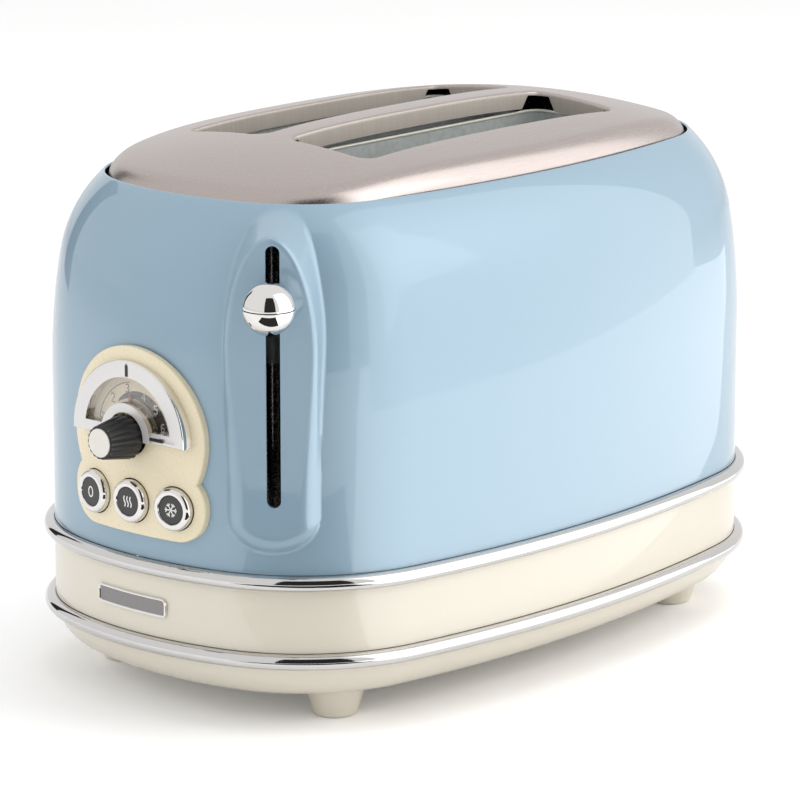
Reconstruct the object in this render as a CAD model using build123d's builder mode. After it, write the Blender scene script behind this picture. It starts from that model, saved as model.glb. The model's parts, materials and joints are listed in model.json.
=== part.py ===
from build123d import *
from math import asin, atan2, cos, degrees, pi, radians, sin, sqrt
import os

os.makedirs("parts", exist_ok=True)

# Two-slice toaster with an oval painted body, a domed steel top and a cream base.
# Lengths are in millimetres. X runs across the body, Y along it with the controls
# at the -Y end, and Z up from the floor.

# Plan of the body: a long oval of tangent arcs
half_length = 155.0
half_width = 99.9
side_radius = 490.0
end_radius = 143.0
corner_radius = 72.0

# Heights, from the floor up
foot_height = 12.0
skirt_rise = 13.2
ring_height = 6.0
band_height = 24.0
straight_height = 59.0

# Walls and clearances
wall_inset = 4.2
sheet = 1.2
plastic_wall = 2.4
ring_depth = 8.0
running_gap = 0.35
shaft_gap = 0.05

# Curve of the body above its straight wall
lower_curve_radius = 266.0
lower_curve_angle = 9.7
upper_curve_radius = 55.0
upper_curve_angle = 37.5

# Base pan and feet
skirt_inset = 16.0
skirt_curve = 19.0
foot_spacing_x = 110.8
foot_spacing_y = 205.0
foot_top_radius = 12.0
foot_bottom_radius = 8.5
foot_edge = 1.6
foot_screw_radius = 1.9
foot_screw_head = 3.8
foot_recess_depth = 4.0
vent_count = 9
vent_length = 36.0
vent_spacing = 48.0
vent_width = 3.0
vent_pitch = 9.0

# Domed top plate and its two bread slots
dome_rise = 16.6
dome_radius_across = 403.0
dome_radius_along = 2940.0
dome_edge = 12.0
rim_depth = 6.0
slot_inner = 6.5
slot_width = 40.3
slot_length = 148.6
slot_corner = 6.0
lip_depth = 5.4

# Lever pad, slot and ball on the front right corner
lever_angle = 33.0
lever_side = -25.6
pad_face = 149.5
pad_root = 106.0
pad_half_width = 17.5
pad_low = 69.5
pad_low_curve = 14.0
pad_high = 189.5
pad_high_curve = 45.0
pad_edge = 4.0
lever_slot_width = 5.3
lever_slot_low = 88.5
lever_slot_high = 186.4
ball_reach = 162.0
ball_height = 165.0
ball_radius = 9.3
ball_seam = 0.3
ball_seam_depth = 0.5
stem_width = 4.0
stem_height = 6.0

# Control panel on the end wall
panel_thickness = 2.6
panel_edge = 0.8
lobe_radius = 33.6
panel_half_width = 33.6
panel_block_drop = 12.9
panel_block_height = 26.8
panel_corner = 12.5
post_radius = 2.0
post_rise = 30.0
post_side = 27.5
post_drop = 11.7
post_hole_gap = 0.45

# Browning dial and knob
dial_height = 108.2
bezel_radius = 28.6
bezel_bore = 22.2
bezel_sleeve = 24.3
bezel_proud = 2.2
bezel_edge = 0.7
bar_drop = 1.0
bar_rise = 3.2
hub_radius = 12.6
hub_bore = 9.2
hub_proud = 1.2
mark_width = 1.3
mark_length = 4.2
bar_mark_length = 8.0
mark_depth = 0.5
scale_thickness = 0.8
scale_recess = 2.7
window_thickness = 0.8
window_recess = 1.4
needle_angle = -10.0
needle_length = 17.2
needle_width = 1.6
needle_hub = 5.5
needle_thickness = 0.8
needle_lift = 0.4
knob_gap = 3.0
knob_length = 13.8
knob_rear_radius = 8.6
knob_front_radius = 6.3
knob_flutes = 18
flute_radius = 0.55
knob_cap_radius = 5.4
knob_cap_thickness = 0.9
knob_cap_proud = 0.3
knob_bore_depth = 9.0
shaft_radius = 3.0

# Three push buttons, each square to the curved end wall
button_names = ("stop", "reheat", "defrost")
button_spacing = 21.0
button_drop = 25.1
button_radius = 8.25
button_disc_radius = 5.5
button_proud = 3.0
button_disc_drop = 0.4
button_disc_thickness = 2.0
button_edge = 1.5
button_skirt = 5.2
button_flange = 9.3
button_flange_thickness = 1.0
button_stem_radius = 2.5
button_stem_end = 125.5
button_travel = 2.5

# Blank plate on the base band
badge_side = -4.0
badge_width = 36.5
badge_height = 7.4
badge_centre_height = 43.0
badge_corner = 1.6
badge_thickness = 1.2

# Inlet bushing for the mains lead
inlet_angle = 225.0
inlet_height = 43.2
inlet_bore = 3.75
inlet_barrel = 5.6
inlet_flange = 8.0
inlet_flange_thickness = 2.0
inlet_barrel_length = 8.0

# Chassis
frame_sheet = 1.2
chassis_half_length = 86.0
chassis_half_width = 63.0
chassis_floor_z = 56.0
chassis_floor_half_width = 71.0
floor_margin = 6.0
post_x = 66.5
post_y = 60.0
support_radius = 4.5
chassis_screw_radius = 1.5
chassis_screw_head = 3.0
chassis_screw_head_height = 2.0
chassis_screw_length = 11.0
crumb_opening_width = 42.0
frame_opening_inner = 4.2
frame_opening_width = 45.3
collar_height = 12.4
collar_sheet = 0.8
reflector_x = 61.0
reflector_sheet = 0.6
board_x = 54.0
mica_thickness = 0.8
board_height = 126.0
ribbon_width = 2.5
ribbon_thickness = 0.25
ribbon_runs = 12
ribbon_pitch = 9.4
ribbon_low = 66.0
ribbon_length = 150.0

# Bread carriage
carriage_drop = 70.0
carriage_lift = 13.0
rack_top = 134.0
rack_sheet = 1.5
rack_width = 12.0
rack_length = 160.0
rack_hole_count = 9
rack_hole_pitch = 16.0
rack_hole_length = 10.0
rack_hole_width = 6.0
neck_width = 5.0
neck_height = 4.0
neck_gap = 1.0
bracket_gap = 3.5
bracket_sheet = 1.5
bracket_half_width = 34.0
bracket_height = 16.0
arm_width = 16.0
arm_rise = 5.0
rod_spacing = 40.0
rod_gap = 10.8
rod_radius = 2.5
bush_radius = 5.0
shelf_z = 184.0
shelf_half_width = 28.0
shelf_overhang = 12.0
spring_radius = 3.5
spring_wire = 0.9
spring_turns = 14
spring_tab_width = 10.0
keeper_rise = 10.0
keeper_thickness = 2.0
keeper_half_width = 9.0
magnet_offset = 2.5
magnet_radius = 7.2
magnet_core = 3.5
magnet_gap = 0.4
magnet_core_rise = 1.0

# Wire bread guides
wire_radius = 0.9
upright_wire_radius = 0.75
guide_inset = 1.2
guide_travel = 9.0
guide_top = 194.0
guide_bar_high = 178.0
guide_bar_low = 71.0
guide_wire_count = 7
guide_wire_pitch = 23.0
guide_bar_overhang = 3.0
guide_slot_gap = 0.5

# Control board behind the panel
board_reach = 128.0
board_thickness = 1.6
circuit_half_width = 34.0
circuit_margin = 3.8
switch_size = 7.0
switch_depth = 4.0
plunger_radius = 1.75
pot_size = 14.0
pot_depth = 5.0
pot_bush_radius = 4.5
pot_bush_length = 6.0
pot_bore_depth = 8.0
board_screw_radius = 1.0
board_screw_head = 2.2
board_screw_head_height = 1.6
board_screw_length = 6.0
relay_width = 15.0
relay_height = 12.0
relay_depth = 11.0
capacitor_radius = 4.0
capacitor_depth = 10.0

# Crumb tray, sliding out at the rear
tray_half_width = 52.0
tray_z = 33.6
tray_front_height = 12.4
tray_pan_half_width = 50.0
tray_front_end = 95.0
tray_wall_height = 6.0
tray_sheet = 0.8
tray_gap = 0.4
tab_half_width = 14.0
tab_rise = 5.0
tab_height = 3.0
tab_inset = 0.6
rail_x = 44.0
rail_thickness = 2.4
rail_length = 206.0

# Values worked out from the sizes above
lower_ring_z = foot_height + skirt_rise
band_z = lower_ring_z + ring_height
upper_ring_z = band_z + band_height
body_z = upper_ring_z + ring_height
band_corner = corner_radius - wall_inset
end_offset = half_length - end_radius
wall_radius = end_radius - wall_inset
wall_reach = half_length - wall_inset
button_height = dial_height - button_drop
panel_low = button_height - panel_block_drop
post_high = dial_height + post_rise
post_low = dial_height - post_drop
circuit_low = panel_low + circuit_margin
circuit_high = post_high + circuit_margin
panel_radius = wall_radius + panel_thickness
panel_reach = wall_reach + panel_thickness
bezel_front = panel_reach + bezel_proud
scale_front = panel_reach - scale_recess
knob_rear = panel_reach + knob_gap
knob_front = knob_rear + knob_length
knob_reach = knob_front + knob_cap_proud

# The origin lies on the floor, midway between the knob's face and the rear ring
body_y = (knob_reach - half_length) / 2

curve_turn = radians(lower_curve_angle)
mouth_turn = radians(lower_curve_angle + upper_curve_angle)
mouth_z = (body_z + straight_height + lower_curve_radius * sin(curve_turn)
           + upper_curve_radius * (sin(mouth_turn) - sin(curve_turn)))
mouth_inset = (wall_inset + lower_curve_radius * (1 - cos(curve_turn))
               + upper_curve_radius * (cos(curve_turn) - cos(mouth_turn)))
plate_inset = mouth_inset + sheet + running_gap
plate_z = mouth_z - rim_depth
dome_top = mouth_z + dome_rise
slot_centre = slot_inner + slot_width / 2
frame_opening_x = frame_opening_inner + frame_opening_width / 2

floor_top_z = chassis_floor_z + frame_sheet
chassis_top_z = plate_z
guide_travel_out = guide_travel * carriage_lift / carriage_drop
rod_reach = chassis_half_length + frame_sheet + rod_gap
magnet_reach = rod_reach + magnet_offset
shelf_reach = rod_reach + shelf_overhang
bracket_reach = chassis_half_length + frame_sheet + bracket_gap
bracket_face = bracket_reach + bracket_sheet
bracket_low = rack_top - neck_height
spring_tab_z = bracket_low + bracket_height
keeper_z = bracket_low + keeper_rise


# Planes of the body: level ones at a height, upright ones at a reach from its centre
def level(height):
    return Plane((0, body_y, height))


def front(reach):
    return Plane((0, body_y - reach, 0), x_dir=(1, 0, 0), z_dir=(0, -1, 0))


def rear(reach):
    return Plane((0, body_y + reach, 0), x_dir=(-1, 0, 0), z_dir=(0, 1, 0))


def side(x):
    return Plane((x, body_y, 0), x_dir=(0, 1, 0), z_dir=(1, 0, 0))


def turned(angle, x=0.0, y=0.0, reach=0.0, height=0.0):
    out = Vector(sin(radians(angle)), -cos(radians(angle)), 0)
    start = Vector(x, body_y + y, height) + out * reach
    return Plane(start, x_dir=(cos(radians(angle)), sin(radians(angle)), 0), z_dir=out)


def lever_plane(reach):
    return turned(lever_angle, reach=reach)


# Oval plan: one quarter of it is a side arc, a corner arc and an end arc
def polar(centre, radius, angle):
    return centre + Vector(cos(angle), sin(angle)) * radius


side_centre = Vector(half_width - side_radius, 0)
end_centre = Vector(0, end_offset)
centre_gap = (end_centre - side_centre).length
along = ((side_radius - corner_radius) ** 2 - (end_radius - corner_radius) ** 2
         + centre_gap ** 2) / (2 * centre_gap)
across = sqrt((side_radius - corner_radius) ** 2 - along ** 2)
centre_run = (end_centre - side_centre) / centre_gap
corner_centre = side_centre + centre_run * along + Vector(-centre_run.Y, centre_run.X) * across
corner_start = atan2((corner_centre - side_centre).Y, (corner_centre - side_centre).X)
corner_end = atan2((corner_centre - end_centre).Y, (corner_centre - end_centre).X)


def draw_plan(inset):
    side_mid = polar(side_centre, side_radius - inset, corner_start / 2)
    side_end = polar(side_centre, side_radius - inset, corner_start)
    corner_mid = polar(corner_centre, corner_radius - inset, (corner_start + corner_end) / 2)
    end_start = polar(end_centre, end_radius - inset, corner_end)
    end_mid = polar(end_centre, end_radius - inset, (corner_end + pi / 2) / 2)
    arcs = (
        (Vector(half_width - inset, 0), side_mid, side_end),
        (side_end, corner_mid, end_start),
        (end_start, end_mid, Vector(0, half_length - inset)),
    )
    for flip_x, flip_y in ((1, 1), (-1, 1), (-1, -1), (1, -1)):
        for arc in arcs:
            ThreePointArc(*[(point.X * flip_x, point.Y * flip_y) for point in arc])


def plan_face(inset, mode=Mode.ADD):
    with BuildLine(Plane.XY) as outline:
        draw_plan(inset)
    make_face(outline.edges(), mode=mode)


def plan_ring(outer_inset, inner_inset):
    plan_face(outer_inset)
    plan_face(inner_inset, mode=Mode.SUBTRACT)


with BuildLine(level(body_z)) as plan_path:
    draw_plan(0)


# A wall section is drawn with its inset from the widest oval across and its height up
def section_plane(height):
    return Plane((half_width, body_y, height), x_dir=(-1, 0, 0), z_dir=(0, 1, 0))


# Half-round trim rings
for ring_name, ring_z in (("upper_trim_ring", upper_ring_z), ("lower_trim_ring", lower_ring_z)):
    with BuildPart() as trim_ring:
        with BuildSketch(section_plane(ring_z)):
            with BuildLine():
                ring_round = ring_height / 2
                Line((ring_round, ring_height), (ring_depth, ring_height))
                Line((ring_depth, ring_height), (ring_depth, 0))
                Line((ring_depth, 0), (ring_round, 0))
                ThreePointArc((ring_round, 0), (0, ring_round), (ring_round, ring_height))
            make_face()
        sweep(path=plan_path.wire())
    trim_ring.part.label = ring_name
    export_step(trim_ring.part, f"parts/{ring_name}.step")


# Painted body shell: a swept wall, the lever pad and the openings in them
def shell_curve(inset_shift, radius_shift):
    wall = Line((wall_inset + inset_shift, 0), (wall_inset + inset_shift, straight_height))
    lower = JernArc(wall @ 1, (0, 1), lower_curve_radius - radius_shift, -lower_curve_angle)
    upper = JernArc(lower @ 1, lower % 1, upper_curve_radius - radius_shift, -upper_curve_angle)
    return wall @ 0, upper @ 1


with BuildPart() as shell_inside:
    with BuildSketch(section_plane(body_z)):
        with BuildLine():
            inside_low, inside_high = shell_curve(sheet, sheet)
            inside_back = Vector(half_length - pad_root, 0)
            Line(inside_low, inside_back)
            Line(inside_back, (inside_back.X, inside_high.Y))
            Line((inside_back.X, inside_high.Y), inside_high)
        make_face()
    sweep(path=plan_path.wire())


def draw_pad(shrink):
    wide = pad_half_width - shrink
    low = pad_low + pad_low_curve
    high = pad_high - pad_high_curve
    with Locations((lever_side, (low + high) / 2)):
        Rectangle(2 * wide, high - low)
    with Locations((lever_side, high)):
        Ellipse(wide, pad_high_curve - shrink)
    with Locations((lever_side, low)):
        Ellipse(wide, pad_low_curve - shrink)


with BuildPart() as lever_pad:
    with BuildSketch(lever_plane(pad_root)):
        draw_pad(0)
    extrude(amount=pad_face - pad_root)
    fillet(lever_pad.faces().sort_by(Axis(lever_plane(0).origin, lever_plane(0).z_dir))[-1].edges(),
           pad_edge)
    add(shell_inside.part, mode=Mode.SUBTRACT)


def draw_dial_opening(grow):
    draw_dial(bezel_sleeve + running_gap / 2 + grow, bar_rise - grow)
    draw_dial(needle_length + 1 + grow, 1 - 2 * grow)
    with Locations((0, dial_height)):
        Circle(needle_hub + 2 + grow)


# A dial shape is the part of a disc that lies above a line near its centre
def draw_dial(radius, low):
    with BuildSketch(Plane.XY, mode=Mode.PRIVATE) as half_disc:
        with Locations((0, dial_height)):
            Circle(radius)
        with Locations((0, dial_height + low - radius)):
            Rectangle(4 * radius, 2 * radius, mode=Mode.SUBTRACT)
    add(half_disc.sketch)


post_places = ((-post_side, post_low), (post_side, post_low), (0, post_high))
button_angle = degrees(asin(button_spacing / (panel_radius + button_proud)))
button_angles = (-button_angle, 0.0, button_angle)


def button_plane(angle, reach):
    return turned(angle, y=-end_offset, reach=reach, height=button_height)


with BuildPart() as body_shell:
    with BuildSketch(section_plane(body_z)):
        with BuildLine():
            outer_low, outer_high = shell_curve(0, 0)
            inner_low, inner_high = shell_curve(sheet, sheet)
            Line(outer_low, inner_low)
            Line(outer_high, inner_high)
        make_face()
    sweep(path=plan_path.wire())
    add(lever_pad.part)
    with BuildSketch(lever_plane(pad_root)):
        draw_pad(sheet)
    extrude(amount=pad_face - sheet - pad_root, mode=Mode.SUBTRACT)
    with BuildSketch(lever_plane(pad_face + 1)):
        with Locations((lever_side, (lever_slot_low + lever_slot_high) / 2)):
            SlotOverall(lever_slot_high - lever_slot_low, lever_slot_width, rotation=90)
    extrude(amount=-(sheet + 2), mode=Mode.SUBTRACT)
    with BuildSketch(front(panel_reach)):
        draw_dial_opening(running_gap)
        with Locations(*post_places):
            Circle(post_radius + post_hole_gap)
    extrude(amount=-(panel_reach - board_reach), mode=Mode.SUBTRACT)
    for angle in button_angles:
        with BuildSketch(button_plane(angle, wall_radius + 1)):
            Circle(button_radius + 2 * running_gap)
        extrude(amount=-(sheet + 2), mode=Mode.SUBTRACT)
body_shell.part.label = "body_shell"
export_step(body_shell.part, "parts/body_shell.step")


# Domed top plate with a turned-down lip round each bread slot
def dome_block(drop):
    across_radius = dome_radius_across - drop
    along_radius = dome_radius_along - drop
    crown = dome_top - drop
    half_sweep = degrees((half_length + ring_depth) / along_radius)
    axis = Axis((0, body_y, crown - along_radius), (1, 0, 0))
    with BuildPart() as block:
        with BuildSketch(front(0)):
            with BuildLine():
                sag = across_radius - sqrt(across_radius ** 2 - half_width ** 2)
                crown_arc = ThreePointArc((-half_width, crown - sag), (0, crown), (half_width, crown - sag))
                Polyline(crown_arc @ 0, (-half_width, plate_z - drop),
                         (half_width, plate_z - drop), crown_arc @ 1)
            make_face()
        revolve(axis=axis, revolution_arc=half_sweep)
        mirror(about=front(0))
    return block.part


def dome_form(inset, drop):
    with BuildPart() as form:
        with BuildSketch(level(plate_z)):
            plan_face(inset)
        extrude(amount=dome_top + drop - plate_z)
        add(dome_block(drop), mode=Mode.INTERSECT)
        rim = form.edges().filter_by(lambda edge: edge.center().Z > mouth_z)
        fillet(rim, dome_edge - drop)
    return form.part


def draw_slots(grow):
    with Locations((-slot_centre, 0), (slot_centre, 0)):
        RectangleRounded(slot_width + 2 * grow, slot_length + 2 * grow, slot_corner + grow)


with BuildPart() as plate_hollow:
    add(dome_form(plate_inset + sheet, sheet))
    with BuildSketch(level(dome_top - lip_depth)):
        draw_slots(sheet)
    extrude(amount=lip_depth, mode=Mode.SUBTRACT)

with BuildPart() as top_plate:
    add(dome_form(plate_inset, 0))
    add(plate_hollow.part, mode=Mode.SUBTRACT)
    with BuildSketch(level(plate_z)):
        draw_slots(0)
    extrude(amount=dome_top - plate_z, mode=Mode.SUBTRACT)
top_plate.part.label = "top_plate"
export_step(top_plate.part, "parts/top_plate.step")

# Cream base band between the rings, open at the rear for the crumb tray
def inlet_plane(reach):
    return turned(inlet_angle, -corner_centre.X, corner_centre.Y, reach, inlet_height)


with BuildPart() as base_band:
    with BuildSketch(level(band_z)):
        plan_ring(wall_inset, wall_inset + plastic_wall)
    extrude(amount=band_height)
    with BuildSketch(rear(corner_centre.Y)):
        tray_hole_height = tray_front_height + 2 * tray_gap
        with Locations((0, tray_z - tray_gap + tray_hole_height / 2)):
            Rectangle(2 * (tray_half_width + tray_gap), tray_hole_height)
    extrude(amount=half_length - corner_centre.Y, mode=Mode.SUBTRACT)
    with BuildSketch(inlet_plane(band_corner + 1)):
        Circle(inlet_barrel)
    extrude(amount=-(plastic_wall + 2), mode=Mode.SUBTRACT)
base_band.part.label = "base_band"
export_step(base_band.part, "parts/base_band.step")

with BuildPart() as cord_bushing:
    with BuildSketch(inlet_plane(band_corner - plastic_wall / 2)):
        Circle(inlet_flange)
    extrude(amount=inlet_flange_thickness + plastic_wall / 2)
    add(base_band.part, mode=Mode.SUBTRACT)
    with BuildSketch(inlet_plane(band_corner)):
        Circle(inlet_barrel)
    extrude(amount=-inlet_barrel_length)
    with BuildSketch(inlet_plane(band_corner + inlet_flange_thickness)):
        Circle(inlet_bore)
    extrude(amount=-(inlet_flange_thickness + inlet_barrel_length), mode=Mode.SUBTRACT)
cord_bushing.part.label = "cord_bushing"
export_step(cord_bushing.part, "parts/cord_bushing.step")

with BuildPart() as badge_plate:
    with BuildSketch(front(corner_centre.Y)):
        with Locations((badge_side, badge_centre_height)):
            RectangleRounded(badge_width, badge_height, badge_corner)
    extrude(amount=half_length - corner_centre.Y)
    with BuildSketch(level(badge_centre_height - badge_height / 2)):
        plan_ring(wall_inset - badge_thickness, wall_inset)
    extrude(amount=badge_height, mode=Mode.INTERSECT)
badge_plate.part.label = "badge_plate"
export_step(badge_plate.part, "parts/badge_plate.step")

# Base pan: a curved skirt, a floor with air slots, tray rails and chassis posts
support_places = [(x * post_x, y * post_y) for x in (-1, 1) for y in (-1, 1)]
foot_places = {
    "foot_front_left": (-foot_spacing_x / 2, -foot_spacing_y / 2),
    "foot_front_right": (foot_spacing_x / 2, -foot_spacing_y / 2),
    "foot_rear_left": (-foot_spacing_x / 2, foot_spacing_y / 2),
    "foot_rear_right": (foot_spacing_x / 2, foot_spacing_y / 2),
}

with BuildPart() as base_pan:
    with BuildSketch(section_plane(foot_height)):
        with BuildLine():
            skirt_outer = RadiusArc((wall_inset, skirt_rise), (skirt_inset, 0), -skirt_curve)
            skirt_inner = RadiusArc((wall_inset + plastic_wall, skirt_rise),
                                    (skirt_inset, plastic_wall), -(skirt_curve - plastic_wall))
            Line(skirt_outer @ 0, skirt_inner @ 0)
            Polyline(skirt_outer @ 1, (skirt_inset + plastic_wall, 0),
                     (skirt_inset + plastic_wall, plastic_wall), skirt_inner @ 1)
        make_face()
    sweep(path=plan_path.wire())
    with BuildSketch(level(foot_height)):
        plan_face(skirt_inset)
    extrude(amount=plastic_wall)
    pan_floor = foot_height + plastic_wall
    with BuildSketch(level(pan_floor)):
        with Locations((-rail_x, 0), (rail_x, 0)):
            Rectangle(rail_thickness, rail_length)
    extrude(amount=tray_z - running_gap - pan_floor)
    with BuildSketch(level(pan_floor)):
        with Locations(*support_places):
            Circle(support_radius)
    extrude(amount=chassis_floor_z - pan_floor)
    with BuildSketch(level(chassis_floor_z)):
        with Locations(*support_places):
            Circle(chassis_screw_radius)
    extrude(amount=-(chassis_screw_length - frame_sheet), mode=Mode.SUBTRACT)
    with BuildSketch(level(foot_height)):
        with Locations(*foot_places.values()):
            Circle(foot_screw_radius)
        with GridLocations(vent_spacing, vent_pitch, 2, vent_count):
            SlotOverall(vent_length, vent_width)
    extrude(amount=plastic_wall, mode=Mode.SUBTRACT)
base_pan.part.label = "base_pan"
export_step(base_pan.part, "parts/base_pan.step")

for foot_name, foot_place in foot_places.items():
    with BuildPart(level(0)) as foot:
        with Locations((*foot_place, 0)):
            Cone(foot_bottom_radius, foot_top_radius, foot_height,
                 align=(Align.CENTER, Align.CENTER, Align.MIN))
        fillet(foot.edges().sort_by(Axis.Z)[0], foot_edge)
        with Locations((*foot_place, 0)):
            Cylinder(foot_screw_head + running_gap, foot_recess_depth,
                     align=(Align.CENTER, Align.CENTER, Align.MIN), mode=Mode.SUBTRACT)
            Cylinder(foot_screw_radius, foot_height,
                     align=(Align.CENTER, Align.CENTER, Align.MIN), mode=Mode.SUBTRACT)
    foot.part.label = foot_name
    export_step(foot.part, f"parts/{foot_name}.step")

with BuildPart() as foot_screws:
    with BuildSketch(level(foot_recess_depth)):
        with Locations(*foot_places.values()):
            Circle(foot_screw_head)
    extrude(amount=-foot_recess_depth / 2)
    with BuildSketch(level(foot_recess_depth)):
        with Locations(*foot_places.values()):
            Circle(foot_screw_radius)
    extrude(amount=foot_height + plastic_wall - foot_recess_depth)
foot_screws.part.label = "foot_screws"
export_step(foot_screws.part, "parts/foot_screws.step")

# Crumb tray with a curved front that fills the gap in the band
with BuildPart() as crumb_tray:
    with BuildSketch(level(tray_z)):
        plan_ring(wall_inset, wall_inset + plastic_wall)
        with Locations((0, half_length)):
            Rectangle(2 * tray_half_width, 2 * (half_length - corner_centre.Y), mode=Mode.INTERSECT)
    extrude(amount=tray_front_height)
    for shrink, mode in ((0, Mode.ADD), (tray_sheet, Mode.SUBTRACT)):
        with BuildSketch(level(tray_z + shrink)):
            with Locations((0, (half_length - tray_front_end) / 2)):
                Rectangle(2 * (tray_pan_half_width - shrink), half_length + tray_front_end - 2 * shrink)
            plan_face(wall_inset + plastic_wall, mode=Mode.INTERSECT)
        extrude(amount=tray_wall_height, mode=mode)
    with BuildSketch(level(tray_z + tab_rise)):
        plan_ring(tab_inset, wall_inset + plastic_wall / 2)
        with Locations((0, half_length)):
            Rectangle(2 * tab_half_width, 2 * (half_length - corner_centre.Y), mode=Mode.INTERSECT)
    extrude(amount=tab_height)
crumb_tray.part.label = "crumb_tray"
export_step(crumb_tray.part, "parts/crumb_tray.step")

# Control panel: a curved plate with a round lobe for the dial over a bar for the buttons
with BuildPart() as control_panel:
    with BuildSketch(front(corner_centre.Y)):
        with Locations((0, dial_height)):
            Circle(lobe_radius)
        with Locations((0, panel_low + panel_block_height / 2)):
            RectangleRounded(2 * panel_half_width, panel_block_height, panel_corner)
    extrude(amount=panel_reach - corner_centre.Y)
    with BuildSketch(level(panel_low - panel_edge)):
        with Locations((0, -end_offset)):
            Circle(panel_radius)
            Circle(wall_radius, mode=Mode.SUBTRACT)
    extrude(amount=dial_height + lobe_radius - panel_low + 2 * panel_edge, mode=Mode.INTERSECT)
    panel_face = control_panel.faces().sort_by(Axis((0, body_y, 0), (0, -1, 0)))[-1]
    fillet(panel_face.edges(), panel_edge)
    for post_place in post_places:
        post_end = end_offset + sqrt(wall_radius ** 2 - post_place[0] ** 2) + panel_thickness / 2
        with BuildSketch(front(board_reach)):
            with Locations(post_place):
                Circle(post_radius)
        extrude(amount=post_end - board_reach)
    with BuildSketch(front(panel_reach)):
        draw_dial_opening(0)
    extrude(amount=-(panel_reach - board_reach), mode=Mode.SUBTRACT)
    for angle in button_angles:
        with BuildSketch(button_plane(angle, panel_radius + 1)):
            Circle(button_radius + running_gap)
        extrude(amount=-(panel_thickness + 2), mode=Mode.SUBTRACT)
    with BuildSketch(front(board_reach)):
        with Locations(*post_places):
            Circle(board_screw_radius)
    extrude(amount=board_screw_length, mode=Mode.SUBTRACT)
control_panel.part.label = "control_panel"
export_step(control_panel.part, "parts/control_panel.step")

# Dial: frame with a half-round window over a bar, and an arch round the knob
bezel_sag = panel_radius - sqrt(panel_radius ** 2 - bezel_radius ** 2)
with BuildPart() as dial_bezel:
    with BuildSketch(front(panel_reach - bezel_sag - 1)):
        draw_dial(bezel_radius, -bar_drop)
    extrude(amount=bezel_front - panel_reach + bezel_sag + 1)
    front_face = dial_bezel.faces().sort_by(Axis((0, body_y, 0), (0, -1, 0)))[-1]
    fillet(front_face.edges(), bezel_edge)
    with BuildSketch(level(panel_low)):
        with Locations((0, -end_offset)):
            Circle(panel_radius)
    extrude(amount=dial_height + lobe_radius - panel_low, mode=Mode.SUBTRACT)
    with BuildSketch(front(scale_front)):
        draw_dial(bezel_sleeve, bar_rise)
    extrude(amount=panel_reach - scale_front)
    with BuildSketch(front(scale_front)):
        draw_dial(bezel_bore, bar_rise)
    extrude(amount=bezel_front - scale_front, mode=Mode.SUBTRACT)
    with BuildSketch(front(bezel_front + hub_proud)):
        draw_dial(hub_radius, -bar_drop)
    extrude(amount=-(bezel_proud + hub_proud))
    with BuildSketch(front(scale_front)):
        with Locations((0, dial_height)):
            Circle(hub_bore)
    extrude(amount=bezel_front + hub_proud - scale_front, mode=Mode.SUBTRACT)
    with BuildSketch(front(bezel_front)):
        with Locations((0, dial_height + (bezel_bore + bezel_radius) / 2)):
            Rectangle(mark_width, mark_length)
        with Locations(((hub_radius + bezel_radius) / 2, dial_height + (bar_rise - bar_drop) / 2)):
            Rectangle(bar_mark_length, mark_width)
    extrude(amount=-mark_depth, mode=Mode.SUBTRACT)
dial_bezel.part.label = "dial_bezel"
export_step(dial_bezel.part, "parts/dial_bezel.step")

with BuildPart() as dial_window:
    with BuildSketch(front(bezel_front - window_recess)):
        draw_dial(bezel_bore, bar_rise)
        with Locations((0, dial_height)):
            Circle(hub_radius, mode=Mode.SUBTRACT)
    extrude(amount=-window_thickness)
dial_window.part.label = "dial_window"
export_step(dial_window.part, "parts/dial_window.step")

with BuildPart() as dial_scale:
    with BuildSketch(front(scale_front)):
        draw_dial(bezel_sleeve, bar_rise)
        with Locations((0, dial_height)):
            Circle(shaft_radius + running_gap, mode=Mode.SUBTRACT)
    extrude(amount=-scale_thickness)
dial_scale.part.label = "dial_scale"
export_step(dial_scale.part, "parts/dial_scale.step")


# Knob, its shaft and the needle turn together about the dial's centre
def draw_fluted(radius):
    with Locations((0, dial_height)):
        Circle(radius)
        with PolarLocations(radius, knob_flutes):
            Circle(flute_radius, mode=Mode.SUBTRACT)


with BuildPart() as knob_body:
    with BuildSketch(front(knob_rear)):
        draw_fluted(knob_rear_radius)
    with BuildSketch(front(knob_front)):
        draw_fluted(knob_front_radius)
    loft(ruled=True)
    with BuildSketch(front(knob_rear)):
        with Locations((0, dial_height)):
            Circle(shaft_radius)
    extrude(amount=knob_bore_depth, mode=Mode.SUBTRACT)
    with BuildSketch(front(knob_front)):
        with Locations((0, dial_height)):
            Circle(knob_cap_radius)
    extrude(amount=knob_cap_proud - knob_cap_thickness, mode=Mode.SUBTRACT)
knob_body.part.label = "knob_body"
export_step(knob_body.part, "parts/knob_body.step")

with BuildPart() as knob_cap:
    with BuildSketch(front(knob_reach)):
        with Locations((0, dial_height)):
            Circle(knob_cap_radius)
    extrude(amount=-knob_cap_thickness)
knob_cap.part.label = "knob_cap"
export_step(knob_cap.part, "parts/knob_cap.step")

pot_front = board_reach + pot_depth + pot_bush_length
shaft_rear = pot_front - pot_bore_depth + running_gap
with BuildPart() as knob_shaft:
    with BuildSketch(front(shaft_rear)):
        with Locations((0, dial_height)):
            Circle(shaft_radius)
    extrude(amount=knob_rear + knob_bore_depth - shaft_rear)
knob_shaft.part.label = "knob_shaft"
export_step(knob_shaft.part, "parts/knob_shaft.step")

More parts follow.
